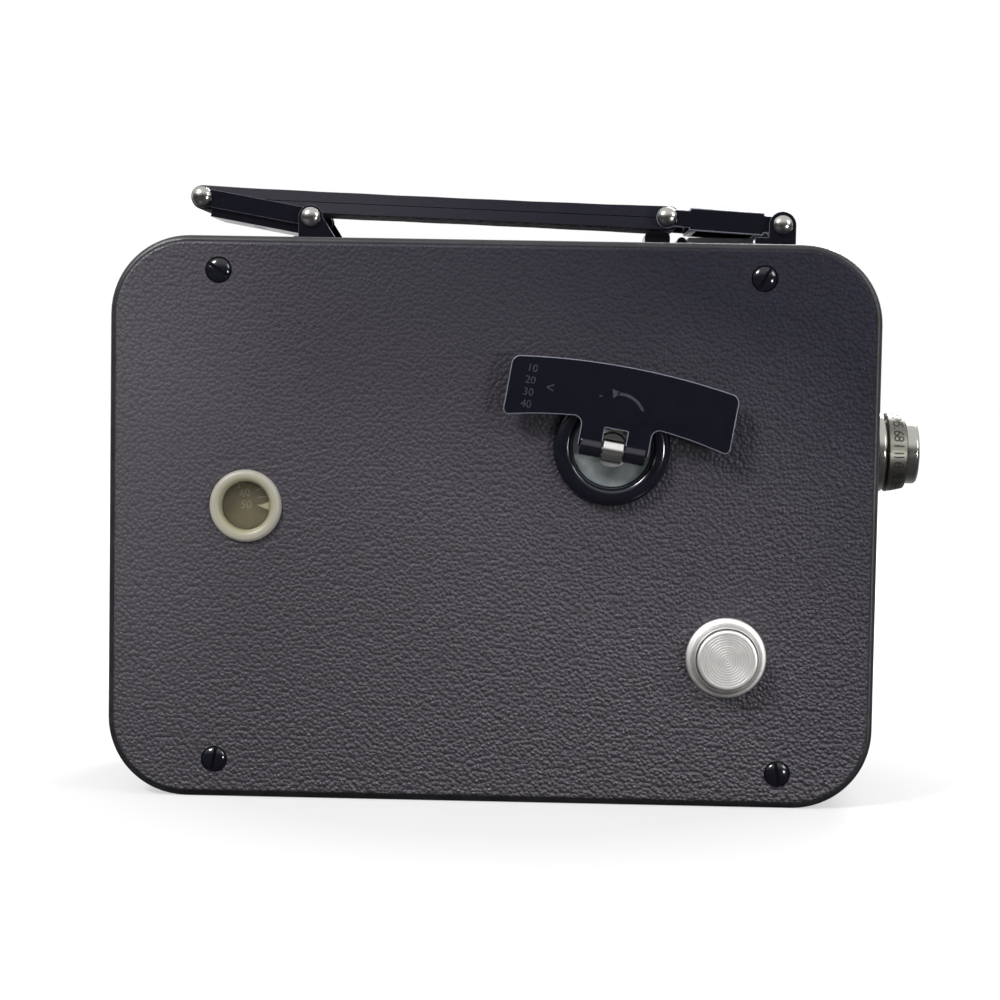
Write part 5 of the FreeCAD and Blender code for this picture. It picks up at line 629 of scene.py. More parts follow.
def make_materials():
    """One material for each finish of the real camera."""
    leather = bpy.context.scene.camera_leather
    metal = bpy.context.scene.camera_metal
    base, crease, worn = leather.base[:], leather.crease[:], leather.worn[:]
    pebble, depth = leather.pebble / MM, leather.depth / MM
    nickel, satin = metal.nickel[:], metal.satin[:]
    return {
        # Leathercloth pressed with a pebble grain: soft glints on pebbles over painted shade in the
        # creases
        "panel": grained_leather("embossed_panel_leathercloth", base, crease, worn, pebble,
                                 depth, sheen_and_rub=0.7),
        # The same cloth wrapped round the case: a little darker, and duller on its bends
        "band": grained_leather("embossed_band_leathercloth", shade(base, 0.85, 0.85, 0.88),
                                crease, worn, pebble, depth, gloss=0.5),
        # Smooth dyed leather: a low even sheen over a fine, shallow grain
        "strap": grained_leather("dyed_strap_leather", shade(base, 0.72, 0.74, 0.86), crease,
                                 worn, pebble * 0.7, depth * 0.16, gloss=0.36),
        # Stoved enamel on metal: blue black, with sharp highlights and faint rubs
        "enamel": enamelled("black_stoved_enamel", metal.enamel[:]),
        # A grey on edge faces that outlines the black pieces: partly enamel thinned by rubbing,
        # partly a painted highlight
        "rubbed": enamelled("rubbed_enamel_edge", linear("#5c5e65"), 0.34),
        # The dish's mottled grey, with a soft highlight and no mirror image: partly a dull plated
        # dish, partly a painted reflection raised against the cup's shade
        "dish_grey_and_reflection": painted("worn_grey_dish", linear("#6f7677"), linear("#555b5c"), 0.3, 0.25),
        # Lacquer on sheet metal: a soft black that still shows its form
        "case": painted("black_case_lacquer", linear("#17161a"), linear("#222126"), 0.42, 0.2),
        # Matt paint against stray light: next to no highlight, and a rough tooth
        "chamber": painted("matt_black_chamber_paint", linear("#151517"), linear("#1f1f22"),
                           0.62, 0.5, 0.05),
        # Polished nickel plate: bright and a little warm, with a few dull spots
        "nickel": plated("polished_nickel_plate", nickel, 0.16),
        # Brushed nickel plate: the highlight is drawn out across its lines
        "satin": plated("satin_nickel_plate", satin, 0.3, (1.6, 0.12, 0.12), 0.008),
        # Nickel faced on a lathe: a wide pale highlight, broken by its rings
        "turned": plated("turned_nickel_face", nickel, 0.5, (1.0, 0.2, 1.0), 0.02, 0.2),
        # Nickel that fingers have dulled: pale and soft all round
        "flared": plated("worn_nickel_collar", nickel, 0.56, (0.3, 0.3, 0.3), 0.004, 0.1),
        # Grey for the front bracket's raised plate: flat mid grey in soft patches
        "plate": painted("grey_bracket_plate", linear("#6c7077"), linear("#84898f"), 0.4, 0.3),
        # Nickel dulled by handling: a dark warm grey that sets off its numbers
        "engraved": plated("dulled_nickel_ring", linear("#737169"), 0.4, (0.1, 1.2, 1.2), 0.006),
        # Domed nickel heads: a small bright glint on each
        "pin": plated("worn_nickel_pin", linear("#b5b3ae"), 0.2, tarnish=0.12, mark=0.0015),
        # Ground steel: neutral grey with straight grinding lines
        "steel": plated("ground_steel", linear("#8e8d8b"), 0.34, (0.2, 1.2, 0.2), 0.006),
        # Tempered spring steel: a deep blue under a thin gloss
        "blued": plated("blued_spring_steel", linear("#2e3546"), 0.3, (0.2, 1.0, 0.2), 0.003),
        # Clockwork brass under lacquer: warm yellow, browner in patches
        "brass": plated("lacquered_clock_brass", linear("#b5924c"), 0.3, (0.3, 1.0, 0.3), 0.005),
        # Milled aluminium: pale cool grey with milling lines along it
        "aluminium": plated("milled_aluminium_plate", linear("#a9abad"), 0.4, (1.4, 0.2, 0.2),
                            0.008, 0.12),
        # Cream enamel, ivory outside and yellower and duller towards its inner edge: partly
        # yellowing, partly painted shade on the inner slope
        "ring": ring_paint("yellowed_ring_enamel", shade(metal.ring[:], 0.80, 0.80, 0.66),
                           shade(metal.ring[:], 0.99, 0.98, 1.14), (RING.x, RING.z), 5.3, 7.6),
        # Dial paint behind glass: a dull olive, nearly flat
        "dial": painted("olive_dial_paint", metal.dial[:], shade(metal.dial[:], 0.8, 0.8, 0.74),
                        0.55, 0.35),
        # White fill that has aged: cream figures, a little uneven
        "mark": painted("worn_white_fill", linear("#cfcab4"), linear("#b3ad97"), 0.6, 1.2),
        # Figures stamped under enamel: only just lighter than the black round them
        "stamp": painted("stamped_enamel_mark", linear("#34353c"), linear("#24252b"), 0.4, 1.5),
        # Black fill in engraving: flat dark figures on bright metal
        "ink": painted("black_engraving_ink", linear("#141416"), linear("#1f1f22"), 0.5, 1.0),
        # Waxed thread: dark stitches with a faint sheen
        "thread": painted("waxed_black_thread", linear("#1d1b20"), linear("#29262c"), 0.6, 2.0),
        # Flat window glass: clear, with a faintly smeared reflection
        "pane": glass("flat_window_glass", (0.98, 0.98, 0.96, 1), 1.5, (1, 1, 1, 1)),
        # Bloomed lens glass: clear and deep, with a violet reflection
        "optic": glass("bloomed_lens_glass", (0.97, 0.98, 1, 1), 1.62, linear("#8a6cff")),
    }


# Every solid's finish; the pieces modelled below replace some of them

FINISHES = {
    "chamber": ["case_frame", "pressure_bracket", "shutter"],
    "case": ["mechanism_cover", "film_door", "base_plate"],
    "panel": ["side_leather", "door_leather"],
    "band": ["case_leather"],
    "strap": ["handle_strap"],
    "enamel": ["key_cup", "winding_key", "cover_screws", "lens_board", "rear_sight_bracket",
               "front_sight_bracket", "rear_sight_frame", "front_sight_frame"],
    "nickel": ["winding_spindle", "release_collar", "lens_barrel", "lens_front_ring",
               "rear_sight_pins", "front_sight_pins", "door_lock", "film_sprocket"],
    "satin": ["aperture_ring", "case_hinge", "door_hinge", "tripod_bush", "pressure_plate",
              "supply_spindle", "takeup_spindle"],
    "turned": ["release_button"],
    "steel": ["small_screws", "key_hinge_pin", "gate_plate", "feeler_arm", "ratchet_wheel",
              "click_pawl", "sprocket_shaft", "intermediate_shaft", "governor_shaft",
              "pulldown_claw"],
    "blued": ["mainspring", "release_spring", "pressure_spring"],
    "brass": ["spring_barrel", "barrel_lid", "intermediate_wheel", "governor_weights",
              "movement_pillars"],
    "aluminium": ["movement_plate", "takeup_spool"],
    "ring": ["counter_bezel"],
    "dial": ["counter_dial"],
    "pane": ["counter_glass", "sight_glass"],
    "optic": ["lens_front_element", "lens_rear_element"],
}
palette = {}


class MOVIECAM_OT_solids(bpy.types.Operator):
    """Gives every solid the finish of its material"""
    bl_idname = "moviecam.dress_solids"
    bl_label = "Dress the solids"

    def execute(self, context):
        palette.update(make_materials())
        left = set(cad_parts)
        for finish_name, nodes in FINISHES.items():
            for node in nodes:
                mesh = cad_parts[node].data
                mesh.materials.clear()
                mesh.materials.append(palette[finish_name])
                left.discard(node)
        if left:
            raise RuntimeError("no finish for " + ", ".join(sorted(left)))
        return {"FINISHED"}


def rounded_panel(inset, y, outer, edge):
    """A leather panel with the case's outline; outer is the Y of its open face."""
    half, corner = FRONT - inset, CORNER - inset
    piece = block((-half, half), y, (inset, TOP - inset))
    pick(piece, lambda e: runs_along(e, "Y"))
    round_picked(corner, 20)
    pick(piece, lambda e: lies_at(e, "Y", outer))
    round_picked(edge, 5)
    return piece


def punched(piece, holes, face, far, width):
    """Cuts round holes, each a centre and a radius, and softens their edge on the face."""
    for x, z, radius in holes:
        combine(piece, rod("Y", (x, 0, z), (min(face, far) - 1, max(face, far) + 1), radius, 48))

    def rims(edge):
        if not lies_at(edge, "Y", face):
            return False
        centre = (edge.verts[0].co + edge.verts[1].co) / 2 / MM
        return any(abs(math.hypot(centre.x - x, centre.z - z) - radius) < 0.1
                   for x, z, radius in holes)

    pick(piece, rims)
    round_picked(width, 3)
    return piece


class MOVIECAM_OT_leather(bpy.types.Operator):
    """Covers the side, the band and the film door with embossed leathercloth"""
    bl_idname = "moviecam.cover_with_leather"
    bl_label = "Leather covering"

    def execute(self, context):
        leather = context.scene.camera_leather
        edge, cut_edge = leather.edge / MM, leather.cut_edge / MM
        side = rounded_panel(1.3, (FACE, COVER), FACE, edge)
        # Each hole's radius is 0.1 mm more than that of the fitting in it
        holes = [(CUP.x, CUP.z, 12.55), (RING.x, RING.z, 7.9), (BUTTON.x, BUTTON.z, 8.75)]
        holes += [(x, z, 2.85) for x, z in SCREWS]
        punched(side, holes, FACE, COVER, cut_edge)
        finish(side, "side_panel_leather", "case", palette["panel"],
               ["side_leather"])

        back = low("door_leather").y
        door = rounded_panel(1.8, (back, DOOR_FACE), DOOR_FACE, edge)
        punched(door, [(LOCK_X, LOCK_Z, 3.3)], DOOR_FACE, back, cut_edge)
        finish(door, "door_panel_leather", "door", palette["panel"],
               ["door_leather"])

        near, far = low("case_leather").y, high("case_leather").y
        band = block((-FRONT, FRONT), (near, far), (0, TOP))
        pick(band, lambda e: runs_along(e, "Y"))
        round_picked(CORNER, 24)
        inside = block((-FRONT + BAND, FRONT - BAND), (near - 1, far + 1), (BAND, TOP - BAND))
        pick(inside, lambda e: runs_along(e, "Y"))
        round_picked(CORNER - BAND, 24)
        combine(band, inside)
        base_x, base_y, tube = 42.1, 20.1, 7.5
        combine(band, block((-base_x, base_x), (-base_y, base_y), (-1, 1)))
        combine(band, rod("X", (0, LENS.y, LENS.z), (FRONT - 2, FRONT + 1), tube))
        # The covering's ends meet in one seam under the base
        combine(band, block((60, 60.25), (near - 1, far + 1), (-0.1, 0.35)))

        def outer_rim(e):
            if not (lies_at(e, "Y", near) or lies_at(e, "Y", far)):
                return False
            return all(outside_by(v.co / MM) > -0.1 for v in e.verts)

        pick(band, outer_rim)
        round_picked(0.35, 3)
        finish(band, "case_band_leather", "case", palette["band"],
               ["case_leather"])
        return {"FINISHED"}


def outside_by(point):
    """How far a point is outside the case's rounded outline, in mm; less than 0 is inside."""
    dx = max(abs(point.x) - (FRONT - CORNER), 0)
    dz = max(abs(point.z - TOP / 2) - (TOP / 2 - CORNER), 0)
    return (math.hypot(dx, dz) if dx and dz else max(dx, dz)) - CORNER


class MOVIECAM_OT_screws(bpy.types.Operator):
    """Models the four domed cover screws, each turned as its slot came to rest"""
    bl_idname = "moviecam.cover_screws"
    bl_label = "Cover screws"

    def execute(self, context):
        shank, rim, slot_floor, slot_half = 1.4, 2.75, COVER - 0.72, 0.36
        profile = [(COVER + 0.7, 0), (COVER + 0.7, shank), (COVER, shank), (COVER, rim),
                   (COVER - 0.45, rim), (COVER - 0.75, 2.6), (COVER - 1.05, 2.25),
                   (COVER - 1.3, 1.6), (COVER - 1.45, 0.8), (COVER - 1.5, 0)]
        heads, slot_angles = [], (100, 35, 80, 120)
        for (x, z), turn in zip(SCREWS, slot_angles):
            head = turned("Y", (x, 0, z), profile, 48)
            slot = block((x - 3, x + 3), (COVER - 2.5, slot_floor),
                         (z - slot_half, z + slot_half))
            swing(slot, math.radians(turn), (x, 0, z))
            combine(head, slot)
            heads.append(break_edges(head, 0.07, 2, 40))
        finish(join(*heads), "domed_cover_screws", "case", palette["enamel"],
               ["cover_screws"])
        return {"FINISHED"}


class MOVIECAM_OT_key(bpy.types.Operator):
    """Models the folding winding key with its knuckles, stamped numbers and arrow"""
    bl_idname = "moviecam.winding_key"
    bl_label = "Winding key"

    def execute(self, context):
        sizes = context.scene.camera_key
        half, crown, lower = sizes.half / MM, sizes.crown / MM, sizes.lower / MM
        neck, thickness = sizes.neck / MM, sizes.thickness / MM
        plane = PIN_LINE.y
        face, back = plane - thickness / 2, plane + thickness / 2
        crown_arc, lower_arc = 156, 100
        gap, reach, eye, knuckle = 2.45, 7.0, 0.95, 1.9
        plate = block((-half, half), (face, back), (0, crown + 2))
        combine(plate, rod("Y", (0, 0, crown - crown_arc), (face - 3, back + 3), crown_arc,
                           360), "INTERSECT")
        combine(plate, rod("Y", (0, 0, lower - lower_arc), (face - 3, back + 3), lower_arc,
                           200))
        combine(plate, block((-neck, neck), (face, back), (0, lower + 3)), "UNION")
        open_mesh(plate)
        bpy.ops.mesh.remove_doubles(threshold=2e-6)
        bpy.ops.mesh.dissolve_limited(angle_limit=math.radians(0.05))
        close_mesh()
        # The wing's four corners, then the two between the wing and its neck
        pick(plate, lambda e: runs_along(e, "Y") and abs(e.verts[0].co.x) / MM > half - 0.05)
        round_picked(1.6, 6)
        pick(plate, lambda e: runs_along(e, "Y") and e.verts[0].co.z / MM > 2
             and abs(abs(e.verts[0].co.x) / MM - neck) < 0.05)
        round_picked(1.8, 6)
        combine(plate, block((-gap, gap), (face - 2, back + 2), (-4, 4.7)))
        break_edges(plate, 0.6, 3, 50)
        knuckles = [turned("X", (0, plane, 0),
                           [(a, eye), (a, knuckle - 0.2), (a + 0.2, knuckle),
                            (b - 0.2, knuckle), (b, knuckle - 0.2), (b, eye), (a, eye)], 40)
                    for a, b in ((-reach, -gap), (gap, reach))]
        pivot = (CUP.x, 0, PIN_LINE.z)
        key = join(plate, *knuckles)
        key.data.transform(Matrix.Translation(mm(*pivot)))
        swing(key, KEY_TILT, pivot)
        finish(key, "winding_key_plate", "key", palette["enamel"],
               ["winding_key"])
        # The wing's rounded outline, which the knuckles don't have, takes a grey: partly enamel
        # lost to rubbing, partly a painted highlight
        key.data.materials.append(palette["rubbed"])
        back_turn = Matrix.Rotation(-KEY_TILT, 3, "Y")
        for side in key.data.polygons:
            flat = back_turn @ (side.center / MM - Vector(pivot))
            side.material_index = -0.97 < side.normal.y < -0.1 and flat.z > 2.2

        row_height = 2.55
        marks = [on_winding_side(lettering(text, 2.3), -half + 4.6, face, 6.6 + row * row_height)
                 for row, text in enumerate(("40", "30", "20", "10"))]
        marks.append(on_winding_side(lettering("<", 3.2), -half + 9.0, face, 10.8))
        marks.append(curved_arrow(face))
        stamp = join(*marks)
        stamp.data.transform(Matrix.Translation(mm(*pivot)))
        swing(stamp, KEY_TILT, pivot)
        finish(stamp, "winding_key_stamping", "key", palette["stamp"])

        spindle = softened("winding_spindle", 0.3, 3)
        finish(spindle, "winding_spindle_lug", "winder", palette["nickel"],
               ["winding_spindle"])
        pin = softened("key_hinge_pin", 0.12)
        finish(pin, "winding_key_pin", "winder", palette["steel"], ["key_hinge_pin"])
        return {"FINISHED"}


def curved_arrow(face):
    """A generic winding arrow: part of a flat ring with a triangular head."""
    span, through = (face - 0.03, face + 0.03), (face - 1.03, face + 1.03)
    centre, outer, inner, head_size = (0, 0, 6.9), 5.7, 5.1, 1.15
    stem = rod("Y", centre, span, outer, 96)
    combine(stem, rod("Y", centre, through, inner, 96))
    combine(stem, block((-9, 9), through, (0, 9.6)))
    combine(stem, block((-9, -1.2), through, (9, 14)))
    head = rod("Y", (0, 0, 0), span, head_size, 3)
    swing(head, math.radians(75), (0, 0, 0))
    head.data.transform(Matrix.Translation(mm(-1.6, 0, 12.25)))
    note = on_winding_side(lettering("-", 3.0), -4.6, face, 11.4)
    return join(stem, head, note)


class MOVIECAM_OT_cup(bpy.types.Operator):
    """Turns the key's dished cup"""
    bl_idname = "moviecam.key_cup"
    bl_label = "Key cup"

    def execute(self, context):
        rim, foot, hole, outer = low("key_cup").y, COVER - 0.25, 3.3, 12.45
        dish_edge, dish = FACE - 0.5, (hole, 4.2, 5.1, 6.0, 6.9, 7.7, 8.35)
        bowl = [(foot - (foot - dish_edge) * ((radius - hole) / (dish[-1] - hole)) ** 2, radius)
                for radius in dish]
        profile = [(COVER, hole)] + bowl + [
            (dish_edge - 0.25, 8.55), (dish_edge - 0.7, 8.66), (rim + 1.0, 8.72),
            (rim + 0.5, 8.88), (rim + 0.16, 9.25), (rim + 0.03, 9.8), (rim, 10.4),
            (rim + 0.08, 10.95), (rim + 0.35, 11.5), (rim + 0.8, 11.95), (rim + 1.35, 12.28),
            (rim + 2.0, outer), (FACE, outer), (COVER, outer), (COVER, hole)]
        cup = turned("Y", (CUP.x, 0, CUP.z), profile)
        # The dish takes a grey that partly paints its reflection and lifts it out of the cup's
        # shade
        for side in cup.data.polygons:
            reach = math.hypot(side.center.x / MM - CUP.x, side.center.z / MM - CUP.z)
            side.material_index = reach < dish[-1] + 0.05 and side.normal.y < -0.5
        finish(cup, "dished_key_cup", "case", palette["enamel"], ["key_cup"],
               50, edge=palette["dish_grey_and_reflection"])
        near = COVER - 0.55
        washer = turned("Y", (CUP.x, 0, CUP.z), [(near + 0.25, 3.35), (near + 0.05, 3.35),
                                                 (near, 3.45), (near, 4.1), (near + 0.05, 4.2),
                                                 (near + 0.25, 4.2), (near + 0.25, 3.35)])
        finish(washer, "key_cup_washer", "case", palette["turned"])
        return {"FINISHED"}


class MOVIECAM_OT_window(bpy.types.Operator):
    """Turns the footage window's ring and dial and fills the dial's marks"""
    bl_idname = "moviecam.footage_window"
    bl_label = "Footage window"

    def execute(self, context):
        top = low("counter_bezel").y
        ring = turned("Y", (RING.x, 0, RING.z),
                      [(COVER, 5.85), (COVER, 7.8), (FACE + 0.1, 7.8), (FACE - 0.35, 7.72),
                       (top + 0.25, 7.45), (top + 0.05, 7.05), (top, 6.6), (top + 0.05, 6.1),
                       (top + 0.3, 5.7), (top + 0.75, 5.4), (top + 1.3, 5.22), (COVER, 5.2),
                       (COVER + 1.8, 5.2), (COVER + 1.8, 5.8), (COVER, 5.8), (COVER, 5.85)])
        # A three-sided rod, narrowed and turned, is the tooth that points at the numbers
        pointer = rod("Y", (0, 0, 0), (COVER - 0.6, COVER - 0.05), 1.55, 3)
        pointer.data.transform(Matrix.Translation(mm(RING.x + 4.35, 0, RING.z))
                               @ Matrix.Rotation(math.pi, 4, "Y")
                               @ Matrix.Diagonal((1.05, 1, 0.72, 1))
                               @ Matrix.Rotation(math.pi / 2, 4, "Y"))
        break_edges(pointer, 0.12, 2)
        finish(join(ring, pointer), "footage_window_ring", "case", palette["ring"],
               ["counter_bezel"], 40)

        (x, z), face, rim, hub = DIAL_AT, low("counter_dial").y, 14.5, 1.6
        disc = turned("Y", (x, 0, z), [(face, 0), (face, rim - 0.3), (face + 0.12, rim - 0.05),
                                       (face + 0.65, rim), (face + 0.8, rim - 0.1),
                                       (face + 0.8, 2), (face + 3.0, hub), (face + 3.0, 0)], 120)
        # The solid's arbor is kept behind the new disc, and closed where it is cut
        arbor = softened("counter_dial", 0.1)
        pick(arbor, lambda f: max(v.co.y for v in f.verts) / MM < face + 0.9, "faces")
        bpy.ops.mesh.delete(type="FACE")
        bpy.ops.mesh.select_all(action="SELECT")
        bpy.ops.mesh.fill_holes(sides=0)
        close_mesh()
        finish(join(disc, arbor), "footage_dial_plate", "dial", palette["dial"],
               ["counter_dial"])
        marks = []
        for number in range(0, FULL_DIAL + 5, 5):
            angle = math.radians((number - FULL_DIAL) * DIAL_STEP)
            reach = Vector((math.cos(angle), 0, -math.sin(angle)))
            if number % 10 == 0:
                mark = lettering(str(number), 2.5)
                at = Vector((x, 0, z)) + reach * 8.7
                marks.append(on_winding_side(mark, at.x, face, at.z, angle))
            tick = block((x + 11.2, x + 13.4), (face - 0.03, face + 0.03), (z - 0.14, z + 0.14))
            marks.append(swing(tick, angle, (x, 0, z)))
        finish(join(*marks), "footage_dial_numbers", "dial", palette["mark"])
        return {"FINISHED"}


class MOVIECAM_OT_release(bpy.types.Operator):
    """Turns the release button with its fine rings and the flared collar round it"""
    bl_idname = "moviecam.release_button"
    bl_label = "Release button"

    def execute(self, context):
        sizes = context.scene.camera_button
        radius, pitch, base = sizes.radius / MM, sizes.pitch / MM, sizes.collar / MM
        top, mouth = low("release_collar").y, radius + 0.24
        flare = turned("Y", (BUTTON.x, 0, BUTTON.z),
                       [(COVER, mouth), (COVER, base), (FACE - 0.1, base),
                        (FACE - 0.34, base - 0.05), (FACE - 0.55, base - 0.2),
                        (FACE - 0.68, base - 0.45), (FACE - 0.72, base - 0.72),
                        (FACE - 0.78, base - 0.92), (FACE - 1.0, base - 1.08),
                        (FACE - 1.5, base - 1.24), (FACE - 2.2, base - 1.4),
                        (top + 0.35, base - 1.6), (top + 0.1, base - 1.68),
                        (top, base - 1.78), (top + 0.06, mouth + 0.04), (top + 0.3, mouth),
                        (COVER, mouth)])
        finish(flare, "flared_release_collar", "case", palette["flared"],
               ["release_collar"], 40)

        face, end = low("release_button").y, high("release_button").y
        flange, flange_front, flange_back, stem = 7.4, -25.3, -24.2, 2.0
        profile, at = [(face + 0.02, 0)], pitch * 0.75
        while at < radius - 0.9:
            profile += [(face + 0.02, at - 0.1), (face + 0.12, at), (face + 0.02, at + 0.1)]
            at += pitch
        profile += [(face, radius - 0.55), (face + 0.05, radius - 0.3), (face + 0.2, radius - 0.08),
                    (face + 0.4, radius), (flange_front, radius), (flange_front, flange),
                    (flange_back, flange), (flange_back, stem), (end, stem), (end, 0)]
        button = turned("Y", (BUTTON.x, 0, BUTTON.z), profile)
        finish(button, "ringed_release_button", "button", palette["turned"],
               ["release_button"], 24)
        return {"FINISHED"}


class MOVIECAM_OT_lens(bpy.types.Operator):
    """Turns the lens mount and its rings and engraves the aperture numbers"""
    bl_idname = "moviecam.lens_mount"
    bl_label = "Lens"

    def execute(self, context):
        centre, board, back = (0, LENS.y, LENS.z), high("lens_board").x, low("lens_barrel").x
        tip, groove = high("lens_barrel").x, low("aperture_ring").x - 0.15
        neck, shoulder = FRONT + 5.5, 7.6
        bore, tail, flange, body, tube = 4.6, 7.4, 11.5, 9.0, 6.6
        barrel = turned("X", centre, [
            (back, bore), (back, tail), (board, tail), (board, flange), (board + 1.8, flange),
            (board + 2.1, 11.3), (board + 2.2, 11.0), (board + 2.2, 9.6), (board + 2.35, 9.2),
            (board + 2.6, body), (neck - 0.3, body), (neck - 0.05, 8.9), (neck, 8.7),
            (neck, shoulder), (groove, shoulder), (groove, tube), (tip, tube), (tip, bore),
            (back, bore)])
        # The mount is enamelled at the back, and plated from 1 mm behind the neck's end
        for side in barrel.data.polygons:
            side.material_index = side.center.x / MM < neck - 1
        finish(barrel, "lens_mount_barrel", "case", palette["pin"],
               ["lens_barrel"], edge=palette["enamel"])

        start, end = low("aperture_ring").x, high("aperture_ring").x
        inner = 6.68
        grip = turned("X", centre, [(start, inner), (start, 8.6), (start + 0.15, 8.9),
                                    (start + IRIS_LEAD, IRIS_RADIUS), (end - 0.25, 8.25),
                                    (end, 8.05), (end, inner), (start, inner)], 144)
        finish(grip, "aperture_ring_body", "iris", palette["engraved"],
               ["aperture_ring"])
        # The numbers follow each other three times round the ring
        marks, first, step = [], 72, 17.2
        for place, text in enumerate(("16", "11", "8", "5.6", "4", "2.8", "1.9") * 3):
            mark = lettering(text, 3.4, 0.05)
            mark.data.transform(Matrix.Rotation(-math.pi / 2, 4, "Z"))
            wrap_on_lens(mark, (start + end) / 2 + 0.1, start,
                         math.radians(first - place * step))
            marks.append(mark)
        finish(join(*marks), "aperture_numbers", "iris", palette["ink"])

        start, end = low("lens_front_ring").x, high("lens_front_ring").x
        outer, hole = 7.1, 5.3
        ring = turned("X", centre, [
            (start, tube + 0.02), (start, outer - 0.1), (start + 0.1, outer), (end - 0.8, outer),
            (end - 0.42, 7.0), (end - 0.14, 6.72), (end - 0.02, 6.4), (end, 6.2), (end, 5.7),
            (end - 0.1, 5.5), (end - 0.35, 5.38), (end - 1.6, hole), (tip, hole), (tip, tube),
            (start, tube + 0.02)])
        finish(ring, "lens_front_ring_body", "case", palette["pin"],
               ["lens_front_ring"], 40)
        return {"FINISHED"}


def wrap_on_lens(mark, place, start, angle):
    """Lays a flat mark round the cone of the iris ring, its middle at an angle."""
    middle_radius = 8.62
    for vert in mark.data.vertices:
        across, along, lift = vert.co / MM
        x = place + across
        radius = IRIS_RADIUS - (x - start - IRIS_LEAD) * IRIS_TAPER + lift
        turn = angle - along / middle_radius
        vert.co = mm(x, LENS.y + radius * math.cos(turn), LENS.z + radius * math.sin(turn))


class MOVIECAM_OT_metalwork(bpy.types.Operator):
    """Breaks the edges of the sights, brackets, hinges, plates and lock"""
    bl_idname = "moviecam.metalwork"
    bl_label = "Stamped metalwork"

    def execute(self, context):
        # Node, body, slot, finish and the width of its broken edge
        plain = [
            ("lens_board", "case", "black_enamel", "enamel", 0.25),
            ("mechanism_cover", "case", "case_black", "case", 0.15),
            ("film_door", "door", "case_black", "case", 0.25),
            ("base_plate", "case", "case_black", "case", 0.15),
            ("case_hinge", "case", "satin_nickel", "satin", 0.12),
            ("door_hinge", "door", "satin_nickel", "satin", 0.12),
            ("door_lock", "lock", "nickel", "nickel", 0.3),
            ("small_screws", "case", "steel", "steel", 0.06),
            ("pressure_plate", "pressure", "satin_nickel", "satin", 0.15),
            ("gate_plate", "case", "steel", "steel", 0.12),
        ]
        for node, body, slot, material, width in plain:
            finish(softened(node, width), node + "_edged", body, palette[material],
                   [node])
        # The sights' and their brackets' rounded edges take the grey that paints their highlight
        for node, body in (("rear_sight_frame", "rear_sight"), ("rear_sight_bracket", "case"),
                           ("front_sight_frame", "front_sight"), ("front_sight_bracket", "case")):
            finish(softened(node, 0.3, 2, True), node + "_edged", body,
                   palette["enamel"], [node], edge=palette["rubbed"])
        # The front bracket's raised plate is flat mid grey: a skin lies over the solid's
        start, end, half, bottom, top = 41.85, 56.15, 7.55, 121.85, 123.15
        worn = block((start, end), (-half, half), (bottom, top))
        finish(break_edges(worn, 0.15), "front_bracket_worn_plate", "case",
               palette["plate"])
        return {"FINISHED"}


class MOVIECAM_OT_springs(bpy.types.Operator):
    """Puts blued copies of the release spring and the pressure spring in place of their solids"""
    bl_idname = "moviecam.springs"
    bl_label = "Coil springs"

    def execute(self, context):
        for node, body, axis, seat in (("release_spring", "button", "Y", low),
                                       ("pressure_spring", "pressure", "X", high)):
            coil = bpy.data.objects.new(node + "_coil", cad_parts[node].data.copy())
            context.scene.collection.objects.link(coil)
            coil.data.materials.clear()
            coil.data.materials.append(palette["blued"])
            open_mesh(coil)
            tidy_mesh(0.001)
            close_mesh()
            # The places of its seat and of its other end along its axis
            number = "XYZ".index(axis)
            start, end = middle(node), middle(node)
            start[number] = seat(node)[number]
            end[number] = 2 * end[number] - start[number]
            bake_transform(coil)
            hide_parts(node)
        return {"FINISHED"}


class MOVIECAM_OT_pins(bpy.types.Operator):
    """Turns the domed pins of the sights and the handle"""
    bl_idname = "moviecam.domed_pins"
    bl_label = "Domed pins"

    def execute(self, context):
        shank = 1.1
        for node, body, through, studs in (
                ("rear_sight_pins", "rear_sight", REAR_PIN, REAR_STUD),
                ("front_sight_pins", "front_sight", FRONT_PIN, FRONT_STUD)):
            parts = []
            for (x, z), face, start in ((through, 12.1, 0.0), (studs, 13.6, 11.1)):
                for side in (-1, 1):
                    rings = [(start, 0), (start, shank), (face, shank), (face, 2.05),
                             (face + 0.12, 2.18), (face + 0.4, 2.2), (face + 0.72, 2.02),
                             (face + 1.08, 1.6), (face + 1.32, 1.08), (face + 1.46, 0.5),
                             (face + 1.5, 0)]
                    parts.append(turned("Y", (x, 0, z),
                                        [(place * side, radius) for place, radius in rings], 40))
            finish(join(*parts), node + "_turned", body, palette["pin"], [node], 50)
        return {"FINISHED"}


